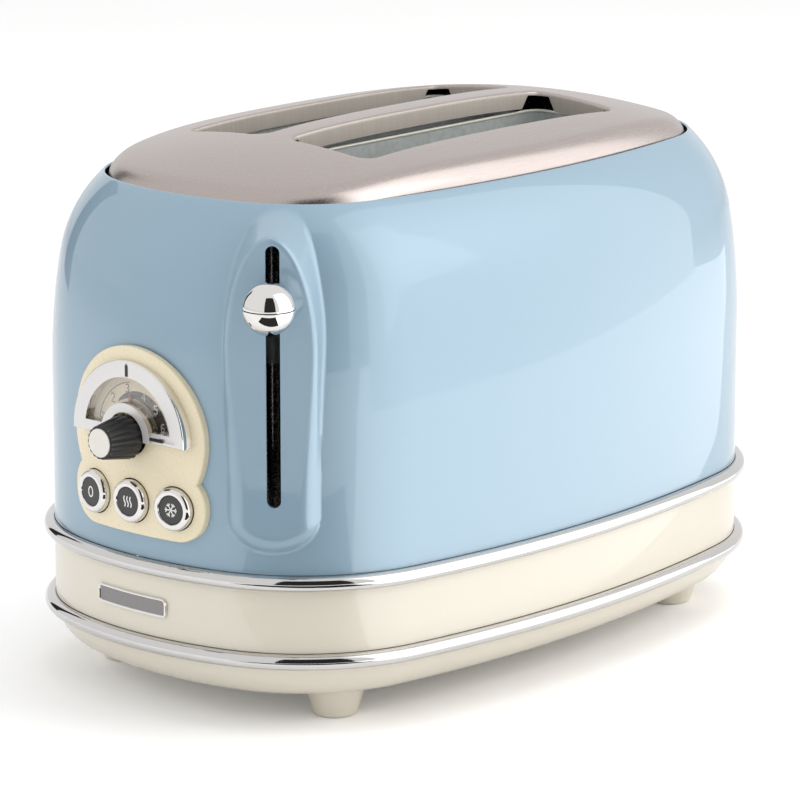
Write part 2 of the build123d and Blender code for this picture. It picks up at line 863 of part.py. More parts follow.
with BuildPart() as dial_needle:
    with BuildSketch(front(scale_front + needle_lift)):
        with Locations((0, dial_height)):
            Circle(needle_hub)
        with Locations(Location((0, dial_height), -needle_angle)):
            with Locations((0, needle_length / 2)):
                Rectangle(needle_width, needle_length)
        with Locations((0, dial_height)):
            Circle(shaft_radius, mode=Mode.SUBTRACT)
    extrude(amount=needle_thickness)
dial_needle.part.label = "dial_needle"
export_step(dial_needle.part, "parts/dial_needle.step")

# Push buttons with a flange behind the shell and a stem towards the board
cap_front = panel_radius + button_proud
cap_rear = panel_radius - button_skirt
for button_name, angle in zip(button_names, button_angles):
    disc_front = button_plane(angle, cap_front - button_disc_drop)
    with BuildPart() as button_cap:
        with BuildSketch(button_plane(angle, cap_rear)):
            Circle(button_radius)
        extrude(amount=cap_front - cap_rear)
        rim = button_cap.edges().sort_by(Axis(disc_front.origin, disc_front.z_dir))[-1]
        fillet(rim, button_edge)
        with BuildSketch(button_plane(angle, cap_front)):
            Circle(button_disc_radius)
        extrude(amount=-(button_disc_drop + button_disc_thickness), mode=Mode.SUBTRACT)
        with BuildSketch(button_plane(angle, cap_rear)):
            Circle(button_flange)
        extrude(amount=-button_flange_thickness)
        with BuildSketch(button_plane(angle, cap_rear)):
            Circle(button_stem_radius)
        extrude(amount=button_stem_end - cap_rear)
    button_cap.part.label = f"{button_name}_button_cap"
    export_step(button_cap.part, f"parts/{button_name}_button_cap.step")
    with BuildPart() as button_disc:
        with BuildSketch(disc_front):
            Circle(button_disc_radius)
        extrude(amount=-button_disc_thickness)
    button_disc.part.label = f"{button_name}_button_disc"
    export_step(button_disc.part, f"parts/{button_name}_button_disc.step")

# Control board on the panel's posts, with its switches and the browning potentiometer
with BuildPart() as control_board:
    with BuildSketch(front(board_reach)):
        with Locations((0, (circuit_low + circuit_high) / 2)):
            RectangleRounded(2 * circuit_half_width, circuit_high - circuit_low, 2)
        with Locations(*post_places):
            Circle(board_screw_radius, mode=Mode.SUBTRACT)
    extrude(amount=-board_thickness)
control_board.part.label = "control_board"
export_step(control_board.part, "parts/control_board.step")

with BuildPart() as board_screws:
    with BuildSketch(front(board_reach - board_thickness)):
        with Locations(*post_places):
            Circle(board_screw_head)
    extrude(amount=-board_screw_head_height)
    with BuildSketch(front(board_reach - board_thickness)):
        with Locations(*post_places):
            Circle(board_screw_radius)
    extrude(amount=board_thickness + board_screw_length)
board_screws.part.label = "board_screws"
export_step(board_screws.part, "parts/board_screws.step")

with BuildPart() as browning_potentiometer:
    with BuildSketch(front(board_reach)):
        with Locations((0, dial_height)):
            Rectangle(pot_size, pot_size)
    extrude(amount=pot_depth)
    with BuildSketch(front(board_reach + pot_depth)):
        with Locations((0, dial_height)):
            Circle(pot_bush_radius)
    extrude(amount=pot_bush_length)
    with BuildSketch(front(pot_front)):
        with Locations((0, dial_height)):
            Circle(shaft_radius + shaft_gap)
    extrude(amount=-pot_bore_depth, mode=Mode.SUBTRACT)
browning_potentiometer.part.label = "browning_potentiometer"
export_step(browning_potentiometer.part, "parts/browning_potentiometer.step")

# Each plunger ends just short of its button's stem when the button is pressed home
with BuildPart() as button_switches:
    pressed_end = button_stem_end - button_travel
    for angle in button_angles:
        turn = radians(abs(angle))
        stem_x = pressed_end * sin(radians(angle))
        stem_reach = end_offset + pressed_end * cos(turn) - button_stem_radius * sin(turn)
        with BuildSketch(front(board_reach)):
            with Locations((stem_x, button_height)):
                Rectangle(switch_size, switch_size)
        extrude(amount=switch_depth)
        with BuildSketch(front(board_reach + switch_depth)):
            with Locations((stem_x, button_height)):
                Circle(plunger_radius)
        extrude(amount=stem_reach - running_gap - board_reach - switch_depth)
button_switches.part.label = "button_switches"
export_step(button_switches.part, "parts/button_switches.step")

with BuildPart() as board_components:
    with BuildSketch(front(board_reach - board_thickness)):
        with Locations((-relay_width, circuit_high - 2 * relay_height)):
            Rectangle(relay_width, relay_height)
    extrude(amount=-relay_depth)
    with BuildSketch(front(board_reach - board_thickness)):
        with Locations((relay_width, circuit_high - 2 * relay_height),
                       (relay_width, circuit_low + relay_height)):
            Circle(capacitor_radius)
    extrude(amount=-capacitor_depth)
board_components.part.label = "board_components"
export_step(board_components.part, "parts/board_components.step")

# Chassis: floor, two end plates and a top frame under the domed plate
with BuildPart() as chassis_floor:
    with BuildSketch(level(chassis_floor_z)):
        Rectangle(2 * chassis_floor_half_width, 2 * (chassis_half_length + floor_margin))
        with Locations((0, -shelf_reach / 2)):
            Rectangle(2 * shelf_half_width, shelf_reach)
        with Locations((-slot_centre, 0), (slot_centre, 0)):
            RectangleRounded(crumb_opening_width, slot_length, slot_corner, mode=Mode.SUBTRACT)
        with Locations(*support_places):
            Circle(chassis_screw_radius, mode=Mode.SUBTRACT)
    extrude(amount=frame_sheet)
chassis_floor.part.label = "chassis_floor"
export_step(chassis_floor.part, "parts/chassis_floor.step")

with BuildPart() as chassis_screws:
    with BuildSketch(level(floor_top_z)):
        with Locations(*support_places):
            Circle(chassis_screw_head)
    extrude(amount=chassis_screw_head_height)
    with BuildSketch(level(floor_top_z)):
        with Locations(*support_places):
            Circle(chassis_screw_radius)
    extrude(amount=-chassis_screw_length)
chassis_screws.part.label = "chassis_screws"
export_step(chassis_screws.part, "parts/chassis_screws.step")

guide_rest_places = (slot_inner + guide_inset, slot_inner + slot_width - guide_inset)
inner_guide_low = guide_rest_places[0] - guide_travel_out
inner_guide_high = guide_rest_places[0] + guide_travel
outer_guide_low = guide_rest_places[1] - guide_travel
outer_guide_high = guide_rest_places[1] + guide_travel_out
guide_slot_height = 2 * (wire_radius + guide_slot_gap)
guide_slot_length = inner_guide_high - inner_guide_low + guide_slot_height
guide_slot_places = [
    (flip * (low + high) / 2, height)
    for flip in (-1, 1)
    for low, high in ((inner_guide_low, inner_guide_high), (outer_guide_low, outer_guide_high))
    for height in (guide_bar_low, guide_bar_high)
]
neck_slot_low = bracket_low - carriage_drop - neck_gap
neck_slot_high = rack_top + carriage_lift + neck_gap
plate_top = chassis_top_z - frame_sheet

for plate_name, plate_plane in (("front_plate", front(chassis_half_length)),
                                ("rear_plate", rear(chassis_half_length))):
    with BuildPart() as end_plate:
        with BuildSketch(plate_plane):
            with Locations((0, (floor_top_z + plate_top) / 2)):
                Rectangle(2 * chassis_half_width, plate_top - floor_top_z)
            with Locations(*guide_slot_places):
                SlotOverall(guide_slot_length, guide_slot_height, mode=Mode.SUBTRACT)
            if plate_name == "front_plate":
                with Locations((-slot_centre, (neck_slot_low + neck_slot_high) / 2),
                               (slot_centre, (neck_slot_low + neck_slot_high) / 2)):
                    Rectangle(neck_width + 2 * neck_gap, neck_slot_high - neck_slot_low,
                              mode=Mode.SUBTRACT)
        extrude(amount=frame_sheet)
        if plate_name == "front_plate":
            with BuildSketch(level(shelf_z)):
                with Locations((0, -(chassis_half_length + shelf_reach) / 2)):
                    Rectangle(2 * shelf_half_width, shelf_reach - chassis_half_length)
            extrude(amount=frame_sheet)
    end_plate.part.label = plate_name
    export_step(end_plate.part, f"parts/{plate_name}.step")

# The top frame has a collar round each opening, which shows inside the bread slot
def draw_openings(grow, mode=Mode.ADD):
    with Locations((-frame_opening_x, 0), (frame_opening_x, 0)):
        RectangleRounded(frame_opening_width + 2 * grow, slot_length + 2 * (sheet + grow),
                         slot_corner + grow, mode=mode)


with BuildPart() as chassis_top_frame:
    with BuildSketch(level(plate_top)):
        plan_face(plate_inset)
    extrude(amount=frame_sheet)
    with BuildSketch(level(chassis_top_z)):
        draw_openings(collar_sheet)
    extrude(amount=collar_height)
    with BuildSketch(level(plate_top)):
        draw_openings(0)
    extrude(amount=frame_sheet + collar_height, mode=Mode.SUBTRACT)
chassis_top_frame.part.label = "chassis_top_frame"
export_step(chassis_top_frame.part, "parts/chassis_top_frame.step")

# Heaters: mica boards with a folded ribbon, and a reflector outside each outer one
for reflector_name, reflector_plane in (("left_reflector", side(-reflector_x - reflector_sheet)),
                                        ("right_reflector", side(reflector_x))):
    with BuildPart() as reflector:
        with BuildSketch(reflector_plane):
            with Locations((0, floor_top_z + board_height / 2)):
                Rectangle(2 * chassis_half_length, board_height)
        extrude(amount=reflector_sheet)
    reflector.part.label = reflector_name
    export_step(reflector.part, f"parts/{reflector_name}.step")


def draw_ribbon():
    for run in range(ribbon_runs):
        run_z = ribbon_low + run * ribbon_pitch
        with Locations((0, run_z)):
            Rectangle(ribbon_length, ribbon_width)
        if run:
            turn_y = (ribbon_length - ribbon_width) / 2 * (1 if run % 2 else -1)
            with Locations((turn_y, run_z - ribbon_pitch / 2)):
                Rectangle(ribbon_width, ribbon_pitch)


heaters = {
    "left": (-board_x, (-board_x + mica_thickness / 2,)),
    "centre": (0, (-mica_thickness / 2 - ribbon_thickness, mica_thickness / 2)),
    "right": (board_x, (board_x - mica_thickness / 2 - ribbon_thickness,)),
}
for heater_name, (mica_x, ribbon_places) in heaters.items():
    with BuildPart() as mica_board:
        with BuildSketch(side(mica_x - mica_thickness / 2)):
            with Locations((0, floor_top_z + board_height / 2)):
                Rectangle(2 * chassis_half_length, board_height)
        extrude(amount=mica_thickness)
    mica_board.part.label = f"{heater_name}_mica_board"
    export_step(mica_board.part, f"parts/{heater_name}_mica_board.step")
    with BuildPart() as heating_ribbon:
        for ribbon_x in ribbon_places:
            with BuildSketch(side(ribbon_x)):
                draw_ribbon()
            extrude(amount=ribbon_thickness)
    heating_ribbon.part.label = f"{heater_name}_heating_ribbon"
    export_step(heating_ribbon.part, f"parts/{heater_name}_heating_ribbon.step")

# Rods, spring and magnet in front of the chassis
rod_places = [(-rod_spacing / 2, -rod_reach), (rod_spacing / 2, -rod_reach)]
with BuildPart() as guide_rods:
    with BuildSketch(level(floor_top_z)):
        with Locations(*rod_places):
            Circle(rod_radius)
    extrude(amount=shelf_z - floor_top_z)
guide_rods.part.label = "guide_rods"
export_step(guide_rods.part, "parts/guide_rods.step")

spring_height = shelf_z - spring_tab_z - spring_wire
with BuildPart() as lift_spring:
    spring_base = Vector(0, body_y - rod_reach, spring_tab_z + spring_wire / 2)
    with BuildLine():
        coil = Helix(pitch=spring_height / spring_turns, height=spring_height, radius=spring_radius,
                     center=spring_base)
    with BuildSketch(Plane(coil @ 0, z_dir=coil % 0)):
        Circle(spring_wire / 2)
    sweep(path=coil)
lift_spring.part.label = "lift_spring"
export_step(lift_spring.part, "parts/lift_spring.step")

magnet_top = keeper_z - carriage_drop - magnet_gap
with BuildPart() as holding_magnet:
    with BuildSketch(level(floor_top_z)):
        with Locations((0, -magnet_reach)):
            Circle(magnet_radius)
    extrude(amount=magnet_top - magnet_core_rise - floor_top_z)
    with BuildSketch(level(floor_top_z)):
        with Locations((0, -magnet_reach)):
            Circle(magnet_core)
    extrude(amount=magnet_top - floor_top_z)
holding_magnet.part.label = "holding_magnet"
export_step(holding_magnet.part, "parts/holding_magnet.step")

# Bread carriage: a bracket that slides on the rods and carries both racks and the lever
lever_cos = cos(radians(lever_angle))
lever_sin = sin(radians(lever_angle))
stem_start = (bracket_face + lever_side * lever_sin) / lever_cos
arm_x = stem_start * lever_sin + lever_side * lever_cos
arm_high = ball_height + arm_rise
with BuildPart() as carriage_bracket:
    with BuildSketch(front(bracket_reach)):
        with Locations((0, bracket_low + bracket_height / 2)):
            Rectangle(2 * bracket_half_width, bracket_height)
        with Locations((arm_x, (bracket_low + arm_high) / 2)):
            Rectangle(arm_width, arm_high - bracket_low)
    extrude(amount=bracket_sheet)
    with BuildSketch(level(bracket_low)):
        with Locations(*rod_places):
            Circle(bush_radius)
        for rod_x, rod_y in rod_places:
            with Locations((rod_x, (rod_y - bracket_face) / 2)):
                Rectangle(2 * bush_radius, -rod_y - bracket_face)
    extrude(amount=bracket_height)
    with BuildSketch(level(spring_tab_z)):
        with Locations((0, -(bracket_face + rod_reach + bush_radius) / 2)):
            Rectangle(spring_tab_width, rod_reach + bush_radius - bracket_face)
    extrude(amount=-bracket_sheet)
    with BuildSketch(level(bracket_low)):
        with Locations(*rod_places):
            Circle(rod_radius + shaft_gap)
    extrude(amount=bracket_height, mode=Mode.SUBTRACT)
carriage_bracket.part.label = "carriage_bracket"
export_step(carriage_bracket.part, "parts/carriage_bracket.step")

for rack_name, rack_x in (("left_bread_rack", -slot_centre), ("right_bread_rack", slot_centre)):
    with BuildPart() as bread_rack:
        with BuildSketch(level(rack_top)):
            with Locations((rack_x, 0)):
                RectangleRounded(rack_width, rack_length, rack_width / 4)
                with GridLocations(0, rack_hole_pitch, 1, rack_hole_count):
                    SlotOverall(rack_hole_length, rack_hole_width, rotation=90, mode=Mode.SUBTRACT)
        extrude(amount=-rack_sheet)
        with BuildSketch(level(rack_top)):
            with Locations((rack_x, -(rack_length / 2 - neck_width + bracket_reach) / 2)):
                Rectangle(neck_width, bracket_reach - rack_length / 2 + neck_width)
        extrude(amount=-neck_height)
    bread_rack.part.label = rack_name
    export_step(bread_rack.part, f"parts/{rack_name}.step")

with BuildPart() as latch_keeper:
    with BuildSketch(level(keeper_z)):
        with Locations((0, -(bracket_face + magnet_reach + magnet_radius) / 2)):
            Rectangle(2 * keeper_half_width, magnet_reach + magnet_radius - bracket_face)
    extrude(amount=keeper_thickness)
latch_keeper.part.label = "latch_keeper"
export_step(latch_keeper.part, "parts/latch_keeper.step")

with BuildPart() as lever_stem:
    with BuildSketch(lever_plane(ball_reach)):
        with Locations((lever_side, ball_height)):
            Rectangle(stem_width, stem_height)
    extrude(amount=-(ball_reach - stem_start + stem_height))
    split(bisect_by=front(bracket_face), keep=Keep.TOP)
lever_stem.part.label = "lever_stem"
export_step(lever_stem.part, "parts/lever_stem.step")

for half_name, half_flip in (("lever_ball_lower", -1), ("lever_ball_upper", 1)):
    ball_plane = lever_plane(ball_reach)
    ball_origin = ball_plane.from_local_coords(Vector(lever_side, ball_height, 0))
    with BuildPart() as lever_ball:
        with Locations(ball_origin):
            Sphere(ball_radius)
        with Locations(ball_origin - Vector(0, 0, half_flip * ball_radius)):
            Box(2 * ball_radius, 2 * ball_radius, 2 * ball_radius, mode=Mode.SUBTRACT)
        with Locations(ball_origin):
            Cylinder(ball_radius, ball_seam, mode=Mode.SUBTRACT)
            Cylinder(ball_radius - ball_seam_depth, ball_seam)
        with Locations(ball_origin - Vector(0, 0, half_flip * ball_seam)):
            Cylinder(ball_radius, 2 * ball_seam, mode=Mode.SUBTRACT)
        with BuildSketch(ball_plane):
            with Locations((lever_side, ball_height)):
                Rectangle(stem_width, stem_height)
        extrude(amount=-ball_radius, mode=Mode.SUBTRACT)
    lever_ball.part.label = half_name
    export_step(lever_ball.part, f"parts/{half_name}.step")

# Wire bread guides that close on the slice from both sides
guide_places = {
    "left_outer_guide": -guide_rest_places[1],
    "left_inner_guide": -guide_rest_places[0],
    "right_inner_guide": guide_rest_places[0],
    "right_outer_guide": guide_rest_places[1],
}
carrier_half_length = chassis_half_length + guide_bar_overhang
top_bar_half_length = (guide_wire_count - 1) / 2 * guide_wire_pitch + guide_bar_overhang
for guide_name, guide_x in guide_places.items():
    with BuildPart() as bread_guide:
        with BuildSketch(front(-carrier_half_length)):
            with Locations((guide_x, guide_bar_low), (guide_x, guide_bar_high)):
                Circle(wire_radius)
        extrude(amount=2 * carrier_half_length)
        with BuildSketch(front(-top_bar_half_length)):
            with Locations((guide_x, guide_top)):
                Circle(wire_radius)
        extrude(amount=2 * top_bar_half_length)
        with BuildSketch(level(guide_bar_low)):
            with Locations((guide_x, 0)):
                with GridLocations(0, guide_wire_pitch, 1, guide_wire_count):
                    Circle(upright_wire_radius)
        extrude(amount=guide_top - guide_bar_low)
    bread_guide.part.label = guide_name
    export_step(bread_guide.part, f"parts/{guide_name}.step")
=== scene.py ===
import bpy
import bmesh
import json
from math import atan2, cos, degrees, hypot, pi, radians, sin, sqrt
from mathutils import Matrix, Vector
from mathutils.geometry import delaunay_2d_cdt


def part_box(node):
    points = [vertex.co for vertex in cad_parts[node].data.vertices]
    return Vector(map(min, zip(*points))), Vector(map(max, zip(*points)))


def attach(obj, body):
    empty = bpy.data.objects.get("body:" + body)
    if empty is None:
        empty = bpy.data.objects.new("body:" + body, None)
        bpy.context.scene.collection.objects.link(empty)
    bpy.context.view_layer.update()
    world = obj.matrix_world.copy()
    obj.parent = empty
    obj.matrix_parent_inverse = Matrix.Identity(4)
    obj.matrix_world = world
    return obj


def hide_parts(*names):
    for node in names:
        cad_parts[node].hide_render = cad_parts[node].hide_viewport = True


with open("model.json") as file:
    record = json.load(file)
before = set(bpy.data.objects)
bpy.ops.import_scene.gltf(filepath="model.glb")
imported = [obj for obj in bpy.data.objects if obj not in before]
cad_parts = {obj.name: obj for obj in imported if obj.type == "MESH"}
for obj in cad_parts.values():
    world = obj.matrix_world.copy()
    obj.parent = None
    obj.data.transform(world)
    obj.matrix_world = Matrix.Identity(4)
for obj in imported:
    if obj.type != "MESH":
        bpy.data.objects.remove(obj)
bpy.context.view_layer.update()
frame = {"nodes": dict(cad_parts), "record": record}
nodes = frame["nodes"]
mm = 0.001
bodies = frame["record"]["behaviour"]["bodies"]
bodyOf = {node: body for body, members in bodies.items() for node in members}
slotOf = {row["node"]: row["material_slot"] for row in frame["record"]["subparts"]}

# Sizes below are in millimetres from the middle of the body, z up from the floor.
ringLow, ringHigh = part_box("upper_trim_ring")
bodyMiddle = (ringLow.y + ringHigh.y) / 2 / mm
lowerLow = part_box("lower_trim_ring")[0]


def toScene(point):
    x, y, z = point
    return Vector((x, y + bodyMiddle, z)) * mm


def linkObject(name, data):
    added = bpy.data.objects.new(name, data)
    bpy.context.scene.collection.objects.link(added)
    return added


def mergePoints(mesh, distance):
    build = bmesh.new()
    build.from_mesh(mesh)
    bmesh.ops.remove_doubles(build, verts=build.verts, dist=distance)
    build.to_mesh(mesh)
    build.free()


def smoothTo(mesh, angle):
    mesh.shade_smooth()
    mesh.set_sharp_from_angle(angle=radians(angle))


def makeMesh(name, points, faces, smoothAngle=35):
    mesh = bpy.data.meshes.new(name)
    mesh.from_pydata([toScene(p) for p in points], [], faces)
    mesh.validate()
    mergePoints(mesh, 0.01 * mm)
    smoothTo(mesh, smoothAngle)
    return linkObject(name, mesh)


def faceOutwards(mesh, splitLarge=False):
    build = bmesh.new()
    build.from_mesh(mesh)
    if splitLarge:
        bmesh.ops.triangulate(build, faces=[f for f in build.faces if len(f.verts) > 4])
    bmesh.ops.recalc_face_normals(build, faces=build.faces)
    build.to_mesh(mesh)
    build.free()


def finishPiece(piece, material, body, slotName, replaced=()):
    piece.data.materials.clear()
    piece.data.materials.append(material)
    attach(piece, body)
    if replaced:
        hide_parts(*replaced)
    return piece


def applyModifiers(piece):
    evaluated = piece.evaluated_get(bpy.context.evaluated_depsgraph_get())
    mesh = bpy.data.meshes.new_from_object(evaluated)
    old = piece.data
    piece.modifiers.clear()
    piece.data = mesh
    bpy.data.meshes.remove(old)
    return piece


def cutWith(piece, cutters, smoothAngle=35):
    for cutter in cutters:
        cut = piece.modifiers.new("cut", "BOOLEAN")
        cut.operation = "DIFFERENCE"
        cut.solver = "EXACT"
        cut.object = cutter
    bpy.context.view_layer.update()
    applyModifiers(piece)
    for cutter in cutters:
        bpy.data.objects.remove(cutter)
    smoothTo(piece.data, smoothAngle)
    return piece


# The plan is a long oval of tangent arcs, drawn by angle so that every inset keeps the same columns
plan = {
    "halfWidth": (ringHigh.x - ringLow.x) / 2 / mm,
    "halfLength": (ringHigh.y - ringLow.y) / 2 / mm,
    "sideRadius": 490.0,
    "endRadius": 143.0,
    "cornerRadius": 72.0,
}


def planArcs():
    side, end, corner = plan["sideRadius"], plan["endRadius"], plan["cornerRadius"]
    sideX = plan["halfWidth"] - side
    endY = plan["halfLength"] - end
    gap = hypot(sideX, endY)
    along = ((side - corner) ** 2 - (end - corner) ** 2 + gap ** 2) / (2 * gap)
    across = sqrt((side - corner) ** 2 - along ** 2)
    runX, runY = -sideX / gap, endY / gap
    cornerX = sideX + runX * along - runY * across
    cornerY = runY * along + runX * across
    low = atan2(cornerY, cornerX - sideX)
    high = atan2(cornerY - endY, cornerX)
    return [
        ((sideX, 0), side, -low, low),
        ((cornerX, cornerY), corner, low, high),
        ((0, endY), end, high, pi - high),
        ((-cornerX, cornerY), corner, pi - high, pi - low),
        ((-sideX, 0), side, pi - low, pi + low),
        ((-cornerX, -cornerY), corner, pi + low, pi + high),
        ((0, -endY), end, pi + high, 2 * pi - high),
        ((cornerX, -cornerY), corner, 2 * pi - high, 2 * pi - low),
    ]


arcs = planArcs()


def planColumns(step, fineStep=None, fineFrom=0.0, fineTo=0.0):
    columns = []
    for centre, radius, start, end in arcs:
        angle = start
        while angle < end - 1e-6:
            columns.append((centre, radius, angle))
            fine = fineStep and fineFrom < degrees(angle) < fineTo
            angle += (fineStep if fine else step) / radius
            if end - angle < 0.4 * step / radius and not fine:
                angle = end
    return columns


def planPoint(column, inset):
    (centreX, centreY), radius, angle = column
    return centreX + (radius - inset) * cos(angle), centreY + (radius - inset) * sin(angle)


def sweepPlan(name, columns, profile, closed, smoothAngle=35, move=None):
    points, faces = [], []
    rows, count = len(profile), len(columns)
    for column in columns:
        for row, (inset, z) in enumerate(profile):
            x, y = planPoint(column, inset)
            points.append(move(x, y, z, row) if move else (x, y, z))
    for i in range(count):
        near, far = i * rows, (i + 1) % count * rows
        for j in range(rows if closed else rows - 1):
            k = (j + 1) % rows
            faces.append((near + j, near + k, far + k, far + j))
    return makeMesh(name, points, faces, smoothAngle)


# Quads between rings of points that lie one after the other in the list
def ringFaces(count, rings, start=0):
    faces = []
    for low in range(start, start + (rings - 1) * count, count):
        for j in range(count):
            k = (j + 1) % count
            faces.append((low + j, low + k, low + count + k, low + count + j))
    return faces


def arcPoints(centre, radius, start, end, count):
    return [
        (centre[0] + radius * cos(radians(start + (end - start) * i / count)),
         centre[1] + radius * sin(radians(start + (end - start) * i / count)))
        for i in range(count + 1)
    ]


# Lathe along an axis; the profile is a list of (radius, distance along the axis)
def lathe(name, origin, direction, profile, segments=72, smoothAngle=35):
    axis = Vector(direction).normalized()
    side = axis.orthogonal().normalized()
    other = axis.cross(side)
    points, faces = [], []
    for i in range(segments):
        angle = 2 * pi * i / segments
        spoke = side * cos(angle) + other * sin(angle)
        for radius, distance in profile:
            points.append(tuple(Vector(origin) + axis * distance + spoke * radius))
    rows = len(profile)
    for i in range(segments):
        near, far = i * rows, (i + 1) % segments * rows
        for j in range(rows - 1):
            faces.append((near + j, far + j, far + j + 1, near + j + 1))
    return makeMesh(name, points, faces, smoothAngle)


# Fine grain shared by all finishes: it varies the colour and the roughness
def makeGrainGroup():
    group = bpy.data.node_groups.new("fineGrain", "ShaderNodeTree")
    face = group.interface
    for name, kind in (("Color", "NodeSocketColor"), ("Second Color", "NodeSocketColor"),
                       ("Roughness", "NodeSocketFloat"), ("Roughness Spread", "NodeSocketFloat"),
                       ("Scale", "NodeSocketVector")):
        face.new_socket(name, in_out="INPUT", socket_type=kind)
    for name, kind in (("Color", "NodeSocketColor"), ("Roughness", "NodeSocketFloat")):
        face.new_socket(name, in_out="OUTPUT", socket_type=kind)
    add, link = group.nodes.new, group.links.new
    given, out, place = add("NodeGroupInput"), add("NodeGroupOutput"), add("ShaderNodeTexCoord")
    stretch, noise, mix = add("ShaderNodeVectorMath"), add("ShaderNodeTexNoise"), add("ShaderNodeMix")
    rough = add("ShaderNodeMath")
    stretch.operation = "MULTIPLY"
    noise.inputs["Scale"].default_value = 1
    noise.inputs["Detail"].default_value = 4
    mix.data_type = "RGBA"
    rough.operation = "MULTIPLY_ADD"
    link(place.outputs["Object"], stretch.inputs[0])
    link(given.outputs["Scale"], stretch.inputs[1])
    link(stretch.outputs["Vector"], noise.inputs["Vector"])
    link(noise.outputs["Fac"], mix.inputs[0])
    link(given.outputs["Color"], mix.inputs[6])
    link(given.outputs["Second Color"], mix.inputs[7])
    link(noise.outputs["Fac"], rough.inputs[0])
    link(given.outputs["Roughness Spread"], rough.inputs[1])
    link(given.outputs["Roughness"], rough.inputs[2])
    link(mix.outputs[2], out.inputs["Color"])
    link(rough.outputs["Value"], out.inputs["Roughness"])
    return group


grainGroup = makeGrainGroup()


coatRoughness = 0.02


def emptyMaterial(name):
    material = bpy.data.materials.new(name)
    material.use_nodes = True
    tree = material.node_tree
    tree.nodes.clear()
    return material, tree.nodes.new, tree.links.new


def nodeMaterial(name, colour, roughness, metallic=0.0, coat=0.0, grain=(700, 700, 700), spread=0.06,
                 roughSpread=0.08):
    material = bpy.data.materials.new(name)
    material.use_nodes = True
    tree = material.node_tree
    shader = tree.nodes["Principled BSDF"]
    group = tree.nodes.new("ShaderNodeGroup")
    group.node_tree = grainGroup
    group.inputs["Color"].default_value = (*[c * (1 - spread) for c in colour], 1)
    group.inputs["Second Color"].default_value = (*[c * (1 + spread) for c in colour], 1)
    group.inputs["Roughness"].default_value = max(0, roughness - roughSpread / 2)
    group.inputs["Roughness Spread"].default_value = roughSpread
    group.inputs["Scale"].default_value = grain
    tree.links.new(group.outputs["Color"], shader.inputs["Base Color"])
    tree.links.new(group.outputs["Roughness"], shader.inputs["Roughness"])
    shader.inputs["Metallic"].default_value = metallic
    shader.inputs["Coat Weight"].default_value = coat
    shader.inputs["Coat Roughness"].default_value = coatRoughness
    return material


bluePaint = nodeMaterial("bluePaint", (0.245, 0.365, 0.46), 0.4, metallic=0.2, coat=1.0,
                         grain=(2600, 2600, 2600), spread=0.05)
brushedSteel = nodeMaterial("brushedSteel", (0.50, 0.438, 0.415), 0.27, metallic=1.0,
                            grain=(1800, 45, 1800), spread=0.10, roughSpread=0.10)
lipSteel = nodeMaterial("lipSteel", (0.42, 0.385, 0.345), 0.5, metallic=0.35, grain=(1500, 1500, 60),
                        spread=0.16)
satinSilver = nodeMaterial("satinSilver", (0.74, 0.73, 0.72), 0.36, metallic=0.55, grain=(900, 900, 900),
                           spread=0.03)
# Painted shade: the rings get a darker copy of the chrome, so their reflections read grey
shadedRingChrome = nodeMaterial("shadedRingChrome", (0.66, 0.65, 0.64), 0.06, metallic=1.0, grain=(60, 60, 60),
                          spread=0.03, roughSpread=0.03)
chrome = nodeMaterial("chrome", (0.80, 0.78, 0.76), 0.05, metallic=1.0, grain=(60, 60, 60), spread=0.02,
                      roughSpread=0.03)
creamGloss = nodeMaterial("creamGloss", (0.70, 0.655, 0.555), 0.3, coat=0.6, grain=(1200, 1200, 1200),
                          spread=0.015)
creamPanel = nodeMaterial("creamPanel", (0.78, 0.69, 0.49), 0.28, coat=0.6, grain=(1500, 1500, 1500),
                          spread=0.02)
zincSheet = nodeMaterial("zincSheet", (0.50, 0.54, 0.54), 0.5, metallic=0.45, grain=(420, 420, 420),
                         spread=0.22)
# Painted highlight: a pale, less metallic zinc for the lit top edge of the collar
collarEdgeHighlight = nodeMaterial("collarEdgeHighlight", (0.80, 0.79, 0.70), 0.45, metallic=0.2, grain=(600, 600, 600),
                        spread=0.12)
blackPlastic = nodeMaterial("blackPlastic", (0.014, 0.013, 0.013), 0.32, grain=(900, 900, 900), spread=0.2)
paleDisc = nodeMaterial("paleDisc", (0.74, 0.72, 0.67), 0.32, grain=(500, 500, 500), spread=0.02)
darkDisc = nodeMaterial("darkDisc", (0.045, 0.043, 0.045), 0.42, grain=(1500, 1500, 1500), spread=0.15)
redNeedle = nodeMaterial("redNeedle", (0.50, 0.03, 0.03), 0.35, grain=(500, 500, 500))
printWhite = nodeMaterial("printWhite", (0.85, 0.85, 0.82), 0.4, grain=(800, 800, 800), spread=0.02)
printBrown = nodeMaterial("printBrown", (0.075, 0.055, 0.045), 0.45, grain=(800, 800, 800), spread=0.1)
badgeGrey = nodeMaterial("badgeGrey", (0.26, 0.25, 0.25), 0.38, metallic=0.4, grain=(900, 900, 900),
                         spread=0.08)
scalePrint = nodeMaterial("scalePrint", (0.92, 0.80, 0.58), 0.5, grain=(300, 300, 300), spread=0.04)
micaBoard = nodeMaterial("micaBoard", (0.45, 0.40, 0.30), 0.6, grain=(150, 150, 400), spread=0.2)
ribbonWire = nodeMaterial("ribbonWire", (0.30, 0.27, 0.24), 0.45, metallic=1.0, grain=(400, 60, 400),
                          spread=0.15)
circuitGreen = nodeMaterial("circuitGreen", (0.03, 0.14, 0.06), 0.4, grain=(300, 300, 300), spread=0.2)
coilCopper = nodeMaterial("coilCopper", (0.30, 0.12, 0.05), 0.4, metallic=0.6, grain=(80, 80, 2500),
                          spread=0.3)


